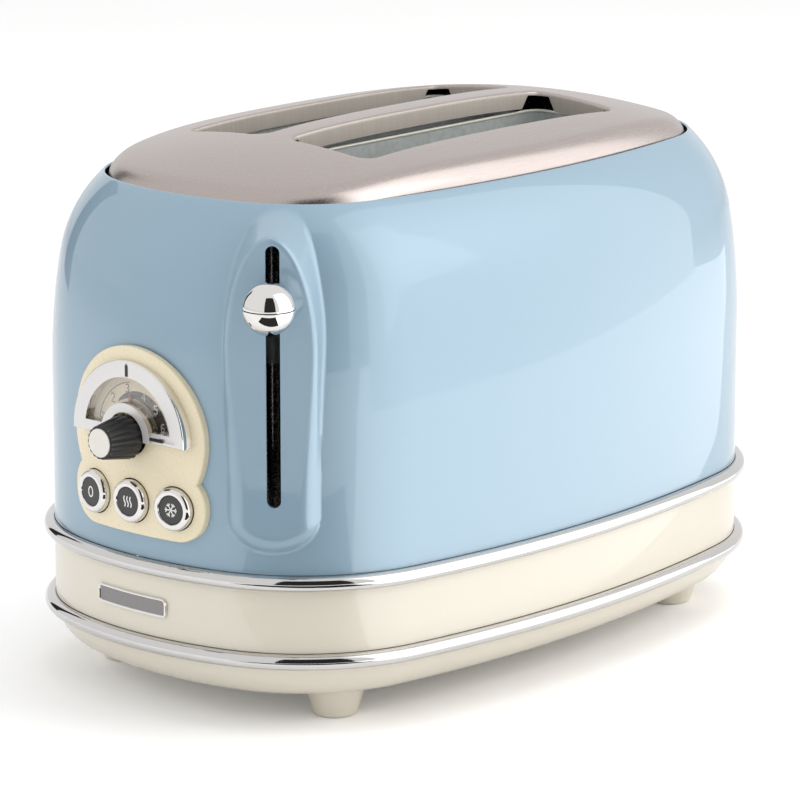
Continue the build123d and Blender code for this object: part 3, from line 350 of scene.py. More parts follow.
# Clear window: mostly see-through, with the shine of a thin flat sheet
def makeWindowMaterial():
    material, add, link = emptyMaterial("clearWindow")
    grain, shine = add("ShaderNodeGroup"), add("ShaderNodeBsdfGlossy")
    through = add("ShaderNodeBsdfTransparent")
    bend, mix, out = add("ShaderNodeFresnel"), add("ShaderNodeMixShader"), add("ShaderNodeOutputMaterial")
    grain.node_tree = grainGroup
    grain.inputs["Color"].default_value = (0.985, 0.985, 0.98, 1)
    grain.inputs["Second Color"].default_value = (1, 1, 1, 1)
    grain.inputs["Roughness"].default_value = 0.02
    grain.inputs["Roughness Spread"].default_value = 0.03
    grain.inputs["Scale"].default_value = (200, 200, 200)
    bend.inputs["IOR"].default_value = 1.35
    link(grain.outputs["Color"], through.inputs["Color"])
    link(grain.outputs["Roughness"], shine.inputs["Roughness"])
    link(bend.outputs["Fac"], mix.inputs["Fac"])
    link(through.outputs["BSDF"], mix.inputs[1])
    link(shine.outputs["BSDF"], mix.inputs[2])
    link(mix.outputs["Shader"], out.inputs["Surface"])
    return material


clearWindow = makeWindowMaterial()
print("materials made")

slotMaterials = {
    "blue_paint": bluePaint, "brushed_top": brushedSteel, "chrome": chrome, "cream_gloss": creamGloss,
    "cream_panel": creamPanel, "plated_steel": zincSheet, "polished_steel": brushedSteel,
    "clear_window": clearWindow, "scale_print": scalePrint, "black_plastic": blackPlastic,
    "pale_disc": paleDisc, "red_needle": redNeedle, "dark_disc": darkDisc, "mica": micaBoard,
    "ribbon_wire": ribbonWire, "magnet_coil": coilCopper, "circuit_green": circuitGreen,
}
for row in frame["record"]["subparts"]:
    mesh = nodes[row["node"]].data
    mesh.materials.clear()
    mesh.materials.append(slotMaterials[row["material_slot"]])

# Body shell
shell = {
    "low": ringHigh.z / mm, "inset": 4.2, "straight": 59.0, "sheet": 1.2,
    "lowerRadius": 266.0, "lowerAngle": 9.7, "upperRadius": 55.0, "upperAngle": 37.5,
    "columnStep": 3.0, "padColumnStep": 0.6, "padFrom": 280, "padTo": 346, "straightRows": 56, "rowStep": 0.9,
    "edgeRadius": 0.6, "mouthInset": 24.85,
}
leverPad = {
    "angle": 33.0, "side": -26.3, "middle": -27.4, "face": 149.5, "halfWidth": 17.2, "low": 69.0,
    "lowCurve": 14.0, "blendFrom": 150.0, "blendHeight": 65.0, "nearest": 60.0, "reach": 34.0,
    "high": 188.6, "highCurve": 45.0, "shoulder": 2.0, "lowShoulder": 7.5, "fillet": 2.6, "steepness": 3.6,
    "slotWidth": 5.3, "slotLow": 87.6, "slotHigh": 185.5,
}


def shellProfile(shift):
    low, inset = shell["low"], shell["inset"] + shift
    count = shell["straightRows"]
    rows = [(inset, low + shell["straight"] * i / count) for i in range(count)]
    lowerRadius, upperRadius = shell["lowerRadius"] - shift, shell["upperRadius"] - shift
    top = low + shell["straight"]
    lowerTurn, upperTurn = shell["lowerAngle"], shell["upperAngle"]
    lowerCount = round(lowerRadius * radians(lowerTurn) / shell["rowStep"])
    upperCount = round(upperRadius * radians(upperTurn) / shell["rowStep"])
    for i in range(lowerCount):
        turn = radians(lowerTurn * i / lowerCount)
        rows.append((inset + lowerRadius * (1 - cos(turn)), top + lowerRadius * sin(turn)))
    turn = radians(lowerTurn)
    startInset = inset + lowerRadius * (1 - cos(turn))
    startZ = top + lowerRadius * sin(turn)
    for i in range(upperCount + 1):
        now = radians(lowerTurn + upperTurn * i / upperCount)
        rows.append((startInset + upperRadius * (cos(turn) - cos(now)),
                     startZ + upperRadius * (sin(now) - sin(turn))))
    return rows


padSin, padCos = sin(radians(leverPad["angle"])), cos(radians(leverPad["angle"]))


def toLever(x, y):
    return x * padSin - y * padCos, x * padCos + y * padSin


def fromLever(n, s):
    return n * padSin + s * padCos, -n * padCos + s * padSin


def padDepthInside(s, z):
    wide = leverPad["halfWidth"]
    ds = s - leverPad["middle"]
    lowEnd = leverPad["low"] + leverPad["lowCurve"]
    highEnd = leverPad["high"] - leverPad["highCurve"]
    if lowEnd <= z <= highEnd:
        return wide - abs(ds)
    tall = leverPad["highCurve"] if z > highEnd else leverPad["lowCurve"]
    dz = z - (highEnd if z > highEnd else lowEnd)
    q = hypot(ds / wide, dz / tall)
    if q < 0.01:
        return wide
    slope = hypot(ds / wide ** 2, dz / tall ** 2) / q
    return min((1 - q) / slope, wide)


def smoothMax(a, b, width):
    h = min(1, max(0, 0.5 + 0.5 * (b - a) / width))
    return a * (1 - h) + b * h + width * h * (1 - h)


def raisePad(x, y, z, shift):
    n, s = toLever(x, y)
    if n < leverPad["nearest"] or abs(s - leverPad["side"]) > leverPad["reach"]:
        return x, y, z
    depth = padDepthInside(s, z) - shift
    low = min(1, max(0, (leverPad["blendFrom"] - z) / leverPad["blendHeight"]))
    growth = (leverPad["lowShoulder"] - leverPad["shoulder"]) * low * low * (3 - 2 * low)
    shoulder = leverPad["shoulder"] + growth
    if depth >= shoulder:
        drop = 0
    elif depth > 0:
        drop = shoulder - sqrt(max(0, shoulder ** 2 - (shoulder - depth) ** 2))
        drop = min(drop, shoulder)
    else:
        drop = shoulder - depth * leverPad["steepness"]
    n = smoothMax(n, leverPad["face"] - shift - drop, leverPad["fillet"])
    x, y = fromLever(n, s)
    return x, y, z


def roundedSlot(name, halfWidth, low, high, nearN, farN, side):
    outline = []
    for start, z in ((0, high - halfWidth), (180, low + halfWidth)):
        outline += arcPoints((side, z), halfWidth, start, start + 180, 24)
    points = []
    for n in (nearN, farN):
        for s, z in outline:
            points.append((*fromLever(n, s), z))
    count = len(outline)
    faces = [tuple(range(count)), tuple(reversed(range(count, 2 * count)))]
    faces += [(i, i + count, (i + 1) % count + count, (i + 1) % count) for i in range(count)]
    return makeMesh(name, points, faces)


def blockCutter(name, low, high):
    points = [(x, y, z) for x in (low[0], high[0]) for y in (low[1], high[1]) for z in (low[2], high[2])]
    faces = [(0, 1, 3, 2), (4, 6, 7, 5), (0, 4, 5, 1), (2, 3, 7, 6), (0, 2, 6, 4), (1, 5, 7, 3)]
    return makeMesh(name, points, faces)


# Opening behind the control panel, and the height of the dial on it
panel = {"dialHeight": 108.2, "openingHalf": 20.0, "openingLow": 74.2, "openingHigh": 128.0,
         "openingNear": 170.0, "openingFar": 100.0}


def makeShell():
    columns = planColumns(shell["columnStep"], shell["padColumnStep"], shell["padFrom"], shell["padTo"])
    outer = shellProfile(0)
    inner = shellProfile(shell["sheet"])
    mouth = outer[-1]
    insideMouth = inner[-1]
    middle = ((mouth[0] + insideMouth[0]) / 2, (mouth[1] + insideMouth[1]) / 2)
    leave = degrees(atan2(mouth[1] - middle[1], mouth[0] - middle[0]))
    roll = arcPoints(middle, shell["edgeRadius"], leave, leave - 180, 8)[1:-1]
    profile = outer + roll + list(reversed(inner))[::4] + [inner[0]]
    outerRows = len(outer) + len(roll) // 2

    def move(x, y, z, row):
        return raisePad(x, y, z, 0 if row < outerRows else shell["sheet"])

    piece = sweepPlan("bodyShell", columns, profile, True, 35, move)
    near, far, half = panel["openingNear"], panel["openingFar"], panel["openingHalf"]
    slotCutter = roundedSlot("slotCutter", leverPad["slotWidth"] / 2, leverPad["slotLow"],
                             leverPad["slotHigh"], far, near, leverPad["side"])
    window = blockCutter("windowCutter", (-half, -near, panel["openingLow"]),
                         (half, -far, panel["openingHigh"]))
    for made in (piece, slotCutter, window):
        faceOutwards(made.data)
    cutWith(piece, [slotCutter, window])
    return finishPiece(piece, bluePaint, "toaster_body", "blue_paint", ["body_shell"])


makeShell()
print("body shell made")

# Domed steel top with a rounded rim and a turned-down lip round each bread slot
dome = {
    "inset": shell["mouthInset"] + 1.55, "low": 190.11, "crown": 212.65, "across": 320.0, "along": 2740.0,
    "endDrop": 8.6, "endAt": 120.0, "rim": 7.6, "sheet": 0.8, "columnStep": 2.5,
    "gridStep": 5.0, "slotInner": 6.5, "slotWidth": 40.3, "slotLength": 148.6, "slotCorner": 6.0,
    "lipRadius": 1.6, "lipDepth": 5.6, "lipFade": 1.2, "lipShort": 0.2, "lipTilt": 0.6, "lipReach": 1.5,
}


def domeHeight(x, y):
    ends = dome["endDrop"] * (y / dome["endAt"]) ** 4
    return dome["crown"] - x ** 2 / (2 * dome["across"]) - y ** 2 / (2 * dome["along"]) - ends


def slotOutline(side, grow):
    halfX, halfY = dome["slotWidth"] / 2 + grow, dome["slotLength"] / 2 + grow
    corner = dome["slotCorner"] + grow
    centre = side * (dome["slotInner"] + dome["slotWidth"] / 2)
    outline = []
    corners = ((1, 1, 0), (-1, 1, 90), (-1, -1, 180), (1, -1, 270))
    for i, (signX, signY, start) in enumerate(corners):
        middle = (centre + signX * (halfX - corner), signY * (halfY - corner))
        outline += arcPoints(middle, corner, start, start + 90, 10)
        straight = 2 * (halfX if i % 2 == 0 else halfY) - 2 * corner
        count = 10 if i % 2 == 0 else 37
        lastX, lastY = outline[-1]
        stepX, stepY = ((-1, 0), (0, -1), (1, 0), (0, 1))[i]
        outline += [(lastX + stepX * straight * j / count, lastY + stepY * straight * j / count)
                    for j in range(1, count)]
    return outline


def insideLoop(x, y, loop):
    inside = False
    for i, (ax, ay) in enumerate(loop):
        bx, by = loop[i - 1]
        if (ay > y) != (by > y) and x < (bx - ax) * (y - ay) / (by - ay) + ax:
            inside = not inside
    return inside


def insideSlot(x, y, grow):
    middle = dome["slotInner"] + dome["slotWidth"] / 2
    halfX, halfY = dome["slotWidth"] / 2 + grow, dome["slotLength"] / 2 + grow
    return abs(abs(x) - middle) < halfX and abs(y) < halfY


# The lip is cut short round each corner of the slots
def lipEnd(x, y, z):
    fromEnd = dome["slotLength"] / 2 - abs(y)
    middle = dome["slotInner"] + dome["slotWidth"] / 2
    fromSide = dome["slotWidth"] / 2 - abs(abs(x) - middle)
    fade = dome["lipFade"]
    nearCorner = min(1, max(0, (dome["slotCorner"] + fade - max(fromEnd, fromSide)) / fade))
    return z - dome["lipDepth"] * (1 - nearCorner) - dome["lipShort"] * nearCorner


def makeTopPlate():
    columns = planColumns(dome["columnStep"])
    rimSteps, lipSteps = 12, 6
    flatInset = dome["inset"] + dome["rim"]
    points, faces = [], []

    def addStrip(rings):
        start = len(points)
        count = len(rings[0])
        for loop in rings:
            points.extend(loop)
        faces.extend(ringFaces(count, len(rings), start))

    rings = [[(*planPoint(c, dome["inset"]), dome["low"]) for c in columns]]
    for i in range(rimSteps + 1):
        turn = radians(90 * i / rimSteps)
        inset = dome["inset"] + dome["rim"] * (1 - cos(turn))
        loop = []
        for column in columns:
            x, y = planPoint(column, inset)
            loop.append((x, y, domeHeight(x, y) - dome["rim"] * (1 - sin(turn))))
        rings.append(loop)
    addStrip(rings)

    for side in (-1, 1):
        rings = []
        for i in range(lipSteps + 1):
            turn = radians(90 * i / lipSteps)
            grow = dome["lipRadius"] * (1 - sin(turn))
            drop = dome["lipRadius"] * (1 - cos(turn))
            rings.append([(x, y, domeHeight(x, y) - drop) for x, y in slotOutline(side, grow)])
        rings.append([(x, y, lipEnd(x, y, z)) for x, y, z in rings[-1]])
        addStrip(rings)

    outer = [planPoint(c, flatInset) for c in columns]
    loops = [outer, slotOutline(-1, dome["lipRadius"]), slotOutline(1, dome["lipRadius"])]
    flat, edges = [], []
    for loop in loops:
        start = len(flat)
        flat += loop
        edges += [(start + i, start + (i + 1) % len(loop)) for i in range(len(loop))]
    step = dome["gridStep"]
    inner = [planPoint(c, flatInset + 2) for c in columns]
    for i in range(-30, 31):
        for j in range(-30, 31):
            x, y = step * (i + 0.5 * (j % 2)), step * 0.87 * j
            if insideLoop(x, y, inner) and not insideSlot(x, y, dome["lipRadius"] + 2):
                flat.append((x, y))
    found = delaunay_2d_cdt([Vector(p) for p in flat], edges, [], 0, 0.001)
    start = len(points)
    points.extend((p.x, p.y, domeHeight(p.x, p.y)) for p in found[0])
    outerTest = [planPoint(c, flatInset - 0.05) for c in columns]
    for face in found[2]:
        x = sum(found[0][k].x for k in face) / 3
        y = sum(found[0][k].y for k in face) / 3
        slots = any(insideLoop(x, y, loop) for loop in loops[1:])
        if insideLoop(x, y, outerTest) and not slots:
            faces.append(tuple(start + k for k in face))
    piece = makeMesh("topPlate", points, faces, 30)
    build = bmesh.new()
    build.from_mesh(piece.data)
    bmesh.ops.recalc_face_normals(build, faces=build.faces)
    upward = sum(f.normal.z * f.calc_area() for f in build.faces)
    if upward < 0:
        bmesh.ops.reverse_faces(build, faces=build.faces)
    build.to_mesh(piece.data)
    build.free()
    thick = piece.modifiers.new("thick", "SOLIDIFY")
    thick.thickness = dome["sheet"] * mm
    thick.offset = -1
    applyModifiers(piece)
    smoothTo(piece.data, 40)
    finishPiece(piece, brushedSteel, "toaster_body", "brushed_top", ["top_plate"])
    piece.data.materials.append(lipSteel)
    for polygon in piece.data.polygons:
        centre = polygon.center / mm
        steep = abs(polygon.normal.z) < dome["lipTilt"]
        if steep and insideSlot(centre.x, centre.y - bodyMiddle, dome["lipReach"]):
            polygon.material_index = 1


makeTopPlate()
print("top plate made")


# Geometry Nodes: a round bar swept along the edges of a path mesh
def makeSweepGroup():
    group = bpy.data.node_groups.new("roundSweep", "GeometryNodeTree")
    face = group.interface
    face.new_socket("Geometry", in_out="INPUT", socket_type="NodeSocketGeometry")
    face.new_socket("Radius", in_out="INPUT", socket_type="NodeSocketFloat")
    face.new_socket("Segments", in_out="INPUT", socket_type="NodeSocketInt")
    face.new_socket("Material", in_out="INPUT", socket_type="NodeSocketMaterial")
    face.new_socket("Geometry", in_out="OUTPUT", socket_type="NodeSocketGeometry")
    add = group.nodes.new
    given, out = add("NodeGroupInput"), add("NodeGroupOutput")
    toCurve, circle = add("GeometryNodeMeshToCurve"), add("GeometryNodeCurvePrimitiveCircle")
    sweep, smooth = add("GeometryNodeCurveToMesh"), add("GeometryNodeSetShadeSmooth")
    realize, setMaterial = add("GeometryNodeRealizeInstances"), add("GeometryNodeSetMaterial")
    sweep.inputs["Fill Caps"].default_value = True
    link = group.links.new
    link(given.outputs["Geometry"], toCurve.inputs["Mesh"])
    link(given.outputs["Radius"], circle.inputs["Radius"])
    link(given.outputs["Segments"], circle.inputs["Resolution"])
    link(toCurve.outputs["Curve"], sweep.inputs["Curve"])
    link(circle.outputs["Curve"], sweep.inputs["Profile Curve"])
    link(sweep.outputs["Mesh"], smooth.inputs["Geometry"])
    link(smooth.outputs["Geometry"], realize.inputs["Geometry"])
    link(realize.outputs["Geometry"], setMaterial.inputs["Geometry"])
    link(given.outputs["Material"], setMaterial.inputs["Material"])
    link(setMaterial.outputs["Geometry"], out.inputs["Geometry"])
    return group


sweepGroup = makeSweepGroup()


def sweepPaths(name, paths, radius, segments, material, closed=False):
    points, edges = [], []
    for path in paths:
        start = len(points)
        points += [toScene(p) for p in path]
        edges += [(start + i, start + i + 1) for i in range(len(path) - 1)]
        if closed:
            edges.append((start + len(path) - 1, start))
    mesh = bpy.data.meshes.new(name)
    mesh.from_pydata(points, edges, [])
    piece = linkObject(name, mesh)
    sweep = piece.modifiers.new("sweep", "NODES")
    sweep.node_group = sweepGroup
    values = {"Radius": radius * mm, "Segments": segments, "Material": material}
    for item in sweepGroup.interface.items_tree:
        if item.in_out == "INPUT" and item.name in values:
            sweep[item.identifier] = values[item.name]
    bpy.context.view_layer.update()
    return applyModifiers(piece)


# Chrome rings: a round bead at the top and the foot of the cream band, in a darker chrome that paints shade
# into their reflections
ring = {"radius": 3.0, "columnStep": 1.6, "segments": 40}
ringColumns = planColumns(ring["columnStep"])
for ringNode, low in (("upper_trim_ring", ringLow.z / mm), ("lower_trim_ring", lowerLow.z / mm)):
    path = [(*planPoint(c, ring["radius"]), low + ring["radius"]) for c in ringColumns]
    name = ringNode.replace("_", "") + "Bead"
    piece = sweepPaths(name, [path], ring["radius"], ring["segments"], shadedRingChrome, True)
    finishPiece(piece, shadedRingChrome, "toaster_body", slotOf[ringNode], [ringNode])
print("rings made")


# A merged, smooth copy of a CAD node that keeps its form
def mergedCopy(node, material, smoothAngle=32):
    mesh = nodes[node].data.copy()
    mesh.name = node.replace("_", "") + "Finish"
    mergePoints(mesh, 0.004 * mm)
    if mesh.attributes.get("custom_normal"):
        mesh.attributes.remove(mesh.attributes["custom_normal"])
    smoothTo(mesh, smoothAngle)
    return finishPiece(linkObject(mesh.name, mesh), material, bodyOf[node], slotOf[node], [node])


# The front faces of the bezel are satin, and the needle is a short blade on a dark hub
needle = {"tip": 14.6, "hub": 10.8}
for node, material in (
    ("base_band", creamGloss), ("base_pan", creamGloss), ("control_panel", creamPanel),
    ("dial_bezel", chrome), ("crumb_tray", creamGloss), ("dial_needle", redNeedle),
    ("foot_front_left", creamGloss), ("foot_front_right", creamGloss),
    ("foot_rear_left", creamGloss), ("foot_rear_right", creamGloss),
):
    piece = mergedCopy(node, material)
    if node == "dial_bezel":
        piece.data.materials.append(satinSilver)
        for polygon in piece.data.polygons:
            polygon.material_index = 1 if polygon.normal.y < -0.8 else 0
    if node == "dial_needle":
        piece.data.materials.append(blackPlastic)
        for vertex in piece.data.vertices:
            rise = vertex.co.z / mm - panel["dialHeight"]
            reach = hypot(vertex.co.x / mm, rise)
            if reach > needle["tip"]:
                vertex.co.x *= needle["tip"] / reach
                vertex.co.z = (panel["dialHeight"] + rise * needle["tip"] / reach) * mm
        for polygon in piece.data.polygons:
            reach = hypot(polygon.center.x / mm, polygon.center.z / mm - panel["dialHeight"])
            polygon.material_index = 1 if reach < needle["hub"] else 0
print("smooth copies made")

# Lever ball: two halves with a fine seam at the equator
ball = {"reach": 162.0, "side": -25.5, "height": 165.0, "radius": 9.7, "seam": 0.15, "groove": 0.45}
ballX, ballY = fromLever(ball["reach"], ball["side"])
for ballNode, sign in (("lever_ball_upper", 1), ("lever_ball_lower", -1)):
    profile = [(ball["radius"] * cos(radians(a)), ball["radius"] * sin(radians(a))) for a in range(90, 2, -3)]
    profile += [(ball["radius"] - 0.03, ball["seam"] + 0.12), (ball["radius"] - 0.15, ball["seam"])]
    profile += [(ball["radius"] - ball["groove"], ball["seam"]), (0, ball["seam"])]
    name = ballNode.replace("_", "") + "Turned"
    piece = lathe(name, (ballX, ballY, ball["height"]), (0, 0, sign), profile, 96)
    finishPiece(piece, chrome, "carriage", "chrome", [ballNode])

# Push buttons: a rounded bright ring round a dark printed disc
button = {
    "angle": 8.36, "height": 83.1, "reach": 141.4, "end": 12.0, "radius": 8.25, "disc": 5.5, "proud": 3.0,
    "rear": -5.2, "discDrop": 0.4, "depth": 2.4, "sideRise": 1.2, "innerRound": 0.6, "crownFlat": 0.5,
}
buttonAngles = {"stop": -button["angle"], "reheat": 0.0, "defrost": button["angle"]}


def buttonPlace(angle, reach):
    out = Vector((sin(radians(angle)), -cos(radians(angle)), 0))
    across = Vector((cos(radians(angle)), sin(radians(angle)), 0))
    middle = Vector((0, -button["end"], button["height"])) + out * reach
    return middle, out, across


for name, angle in buttonAngles.items():
    middle, out, across = buttonPlace(angle, button["reach"])
    front, outer, disc = button["proud"], button["radius"], button["disc"]
    profile = [(0, button["rear"]), (outer, button["rear"])]
    crown = button["innerRound"] + disc + button["crownFlat"]
    for i in range(11):
        turn = radians(90 * i / 10)
        rise = (front - button["sideRise"]) * sin(turn)
        profile.append((crown + (outer - crown) * cos(turn), button["sideRise"] + rise))
    inner = button["innerRound"]
    profile += arcPoints((disc + inner, front - inner), inner, 90, 180, 6)
    profile += [(disc, front - button["depth"]), (0, front - button["depth"])]
    piece = lathe(name + "ButtonRing", middle, out, profile, 96)
    finishPiece(piece, chrome, name + "_button", slotOf[name + "_button_cap"], [name + "_button_cap"])
    top = front - button["discDrop"]
    profile = [(0, front - button["depth"]), (disc - 0.05, front - button["depth"])]
    profile += [(disc - 0.05, top - 0.25), (disc - 0.3, top), (0, top)]
    piece = lathe(name + "ButtonFace", middle, out, profile, 72)
    finishPiece(piece, darkDisc, name + "_button", slotOf[name + "_button_disc"], [name + "_button_disc"])
print("buttons and ball made")


# Flat printed marks: each path is a polyline in the plane (across, up) and becomes a thin raised stroke
def strokes(name, paths, width, middle, across, out, lift=0.05, thick=0.06):
    up = Vector((0, 0, 1))
    points, faces = [], []

    def place(u, v, w):
        return tuple(middle + across * u + up * v + out * (lift + w))

    for path in paths:
        closed = path[0] == path[-1]
        corners = path[:-1] if closed else path
        count = len(corners)
        start = len(points)
        for i, (u, v) in enumerate(corners):
            before = corners[i - 1] if i or closed else corners[i]
            after = corners[(i + 1) % count] if i < count - 1 or closed else corners[i]
            run = Vector((after[0] - before[0], after[1] - before[1])).normalized()
            side = Vector((-run.y, run.x)) * width / 2
            for w in (0, thick):
                points.append(place(u + side.x, v + side.y, w))
                points.append(place(u - side.x, v - side.y, w))
        for i in range(count if closed else count - 1):
            a, b = start + 4 * i, start + 4 * ((i + 1) % count)
            faces += [(a + 2, a + 3, b + 3, b + 2), (a, b, b + 1, a + 1)]
            faces += [(a, a + 2, b + 2, b), (a + 1, b + 1, b + 3, a + 3)]
        if not closed:
            faces += [(start, start + 1, start + 3, start + 2)]
            last = start + 4 * (count - 1)
            faces += [(last, last + 2, last + 3, last + 1)]
    piece = makeMesh(name, points, faces)
    faceOutwards(piece.data)
    return piece


def oval(u, v, halfU, halfV, count=28):
    loop = [(u + halfU * cos(2 * pi * i / count), v + halfV * sin(2 * pi * i / count)) for i in range(count)]
    return loop + [loop[0]]


def snowflake(size):
    paths = []
    for i in range(6):
        turn = Matrix.Rotation(radians(60 * i + 30), 2)
        arms = [[(0, 0), (0, size)], [(-0.3 * size, 0.9 * size), (0, 0.6 * size), (0.3 * size, 0.9 * size)]]
        paths += [[tuple(turn @ Vector(p)) for p in arm] for arm in arms]
    return paths


def heatWaves(size):
    return [[(u * size + 0.16 * size * sin(2 * pi * i / 12), size * (i / 6 - 1) * 0.8) for i in range(13)]
            for u in (-0.62, 0, 0.62)]


symbols = {
    "stop": ([oval(0, 0, 1.25, 1.9)], 0.5),
    "reheat": (heatWaves(2.5), 0.5),
    "defrost": (snowflake(2.7), 0.4),
}
symbolReach = button["reach"] + button["proud"] - button["discDrop"]
for name, (paths, width) in symbols.items():
    middle, out, across = buttonPlace(buttonAngles[name], symbolReach)
    piece = strokes(name + "Symbol", paths, width, middle, across, out, 0)
    finishPiece(piece, printWhite, name + "_button", slotOf[name + "_button_disc"])

# Browning scale: a dark crescent with pale numerals, dark numerals on the pale side and a thin outline
dial = {
    "height": panel["dialHeight"], "front": 150.7, "bezelFront": 155.7, "digitSize": 2.6, "digitAcross": 0.55,
    "digitUp": 0.62, "arc": 19.5, "arcStart": -79, "arcFoot": 16.9, "tick": -72, "tickFoot": 16.8,
    "crescentStart": -40, "crescentTurn": 122, "crescentRadius": 14.4, "crescentGrowth": 2.3,
    "crescentInner": 14.2, "crescentDip": 2.5,
}
dialMiddle = Vector((0, -dial["front"], dial["height"]))
dialOut, dialAcross = Vector((0, -1, 0)), Vector((1, 0, 0))


def dialPoint(angle, radius):
    return radius * sin(radians(angle)), radius * cos(radians(angle))


def flatPatch(name, outline, middle, across, out, lift=0.03, thick=0.05):
    up = Vector((0, 0, 1))
    count = len(outline)
    points = [tuple(middle + across * u + up * v + out * (lift + w)) for w in (0, thick) for u, v in outline]
    faces = [(i, (i + 1) % count, (i + 1) % count + count, i + count) for i in range(count)]
    half = count // 2
    for i in range(half - 1):
        faces.append((i + count, i + 1 + count, 2 * count - 2 - i, 2 * count - 1 - i))
        faces.append((count - 1 - i, count - 2 - i, i + 1, i))
    piece = makeMesh(name, points, faces)
    faceOutwards(piece.data)
    return piece


crescent, crescentInner = [], []
for i in range(41):
    angle = dial["crescentStart"] + dial["crescentTurn"] * i / 40
    grown = sqrt(min(1, i / 22))
    crescent.append(dialPoint(angle, dial["crescentRadius"] + dial["crescentGrowth"] * grown))
    crescentInner.append(dialPoint(angle, dial["crescentInner"] - dial["crescentDip"] * min(1, i / 30)))
crescent += list(reversed(crescentInner))
piece = flatPatch("scaleCrescent", crescent, dialMiddle, dialAcross, dialOut)
finishPiece(piece, printBrown, "toaster_body", "scale_print")
outline = [dialPoint(dial["arcStart"], dial["arcFoot"])]
outline += [dialPoint(a, dial["arc"]) for a in range(dial["arcStart"], -9, 3)]
tick = [dialPoint(dial["tick"], dial["arc"]), dialPoint(dial["tick"] - 2, dial["tickFoot"])]
piece = strokes("scaleArc", [outline, tick], 0.32, dialMiddle, dialAcross, dialOut)
finishPiece(piece, printBrown, "toaster_body", "scale_print")

digitPaths = {
    "2": [[(-0.6, 0.55), (-0.45, 0.9), (0, 1), (0.5, 0.8), (0.55, 0.35), (0.1, -0.25), (-0.6, -1),
           (0.6, -1)]],
    "3": [[(-0.55, 0.8), (0, 1), (0.5, 0.75), (0.45, 0.25), (0, 0.05), (0.5, -0.2), (0.55, -0.7), (0, -1),
           (-0.6, -0.8)]],
    "4": [[(0.35, -1), (0.35, 1), (-0.65, -0.4), (0.7, -0.4)]],
    "5": [[(0.55, 1), (-0.45, 1), (-0.5, 0.15), (0.1, 0.25), (0.55, -0.1), (0.5, -0.75), (0, -1),
           (-0.55, -0.8)]],
    "6": [[(0.45, 0.85), (0, 1), (-0.5, 0.5), (-0.55, -0.4), (0, -1), (0.5, -0.65), (0.5, -0.1), (0, 0.15),
           (-0.5, -0.2)]],
}
digitPlaces = {"2": (-45, 17.0), "3": (-15, 17.3), "4": (15, 15.1), "5": (44, 14.7), "6": (73, 14.4)}
for digit, (angle, radius) in digitPlaces.items():
    u, v = dialPoint(angle, radius)
    across, rise = dial["digitSize"] * dial["digitAcross"], dial["digitSize"] * dial["digitUp"]
    paths = [[(u + p * across, v + q * rise) for p, q in path] for path in digitPaths[digit]]
    onDark = digit in "456"
    lift = 0.1 if onDark else 0.02
    piece = strokes("scaleDigit" + digit, paths, 0.5, dialMiddle, dialAcross, dialOut, lift)
    finishPiece(piece, printWhite if onDark else printBrown, "toaster_body", "scale_print")

# A dark index mark on the front of the bezel, and a painted reflection of the knob: a dark bar on the bezel's
# lower arm
bezelMiddle = Vector((0, -dial["bezelFront"], dial["height"]))
indexMark = [(-0.65, 22.6), (0.65, 22.6), (0.65, 26.8), (-0.65, 26.8)]
# Painted reflection: the dark bar stands for the knob mirrored in the bezel's lower arm
knobReflectionBar = [(8.9, 0.1), (18.4, 0.1), (18.4, 1.4), (8.9, 1.4)]
for name, corners in (("bezelIndex", indexMark), ("bezelBar", knobReflectionBar)):
    piece = flatPatch(name, corners, bezelMiddle, dialAcross, dialOut)
    finishPiece(piece, blackPlastic, "toaster_body", "chrome")
print("printed marks made")

# Fluted knob with a pale disc on its face
knob = {"rear": 156.4, "front": 170.2, "rearRadius": 8.6, "frontRadius": 6.3, "flutes": 18, "flute": 0.5,
        "cap": 5.4, "round": 0.5, "steps": 10, "sink": 0.7, "sharpness": 5}


def makeKnob():
    count = knob["flutes"] * knob["steps"]
    rows = []
    length = knob["front"] - knob["rear"]
    for i in range(9):
        along = i / 8 * (length - knob["round"])
        rows.append((along, 1.0, 0.0))
    for i in range(1, 5):
        turn = radians(90 * i / 4)
        rows.append((length - knob["round"] * (1 - sin(turn)), 1.0, knob["round"] * (1 - cos(turn))))
    points = []

    def addPoint(angle, reach, along):
        points.append((reach * sin(angle), -(knob["rear"] + along), dial["height"] + reach * cos(angle)))

    def ringAt(along, flute, inset):
        radius = knob["rearRadius"] + (knob["frontRadius"] - knob["rearRadius"]) * along / length - inset
        for j in range(count):
            angle = 2 * pi * j / count
            wave = abs(cos(angle * knob["flutes"] / 2)) ** knob["sharpness"]
            addPoint(angle, radius - knob["flute"] * flute * wave, along)

    for along, flute, inset in rows:
        ringAt(along, flute, inset)
    for radius, along in ((knob["cap"] + 0.12, length), (knob["cap"] + 0.05, length - knob["sink"])):
        for j in range(count):
            addPoint(2 * pi * j / count, radius, along)
    total = len(rows) + 2
    faces = ringFaces(count, total)
    for along in (0, length - knob["sink"]):
        addPoint(0, 0, along)
    for j in range(count):
        k = (j + 1) % count
        faces.append((k, j, len(points) - 2))
        faces.append(((total - 1) * count + j, (total - 1) * count + k, len(points) - 1))
    piece = makeMesh("knobGrip", points, faces, 38)
    faceOutwards(piece.data)
    finishPiece(piece, blackPlastic, "knob", slotOf["knob_body"], ["knob_body"])


makeKnob()
capFront = knob["front"] + 0.3
profile = [(0, -0.6), (knob["cap"], -0.6), (knob["cap"], -0.15), (knob["cap"] - 0.15, 0), (0, 0.02)]
piece = lathe("knobDisc", (0, -capFront, dial["height"]), (0, -1, 0), profile, 72)
finishPiece(piece, paleDisc, "knob", slotOf["knob_cap"], ["knob_cap"])
print("knob made")

# Blank plate on the band: a bright rolled border round a darker sunk face
badge = {"side": -4.0, "halfWidth": 18.25, "low": 39.3, "high": 46.7, "corner": 2.0, "wall": 138.8,
         "end": 12.0, "proud": 1.2, "border": 0.9, "sink": 0.5}


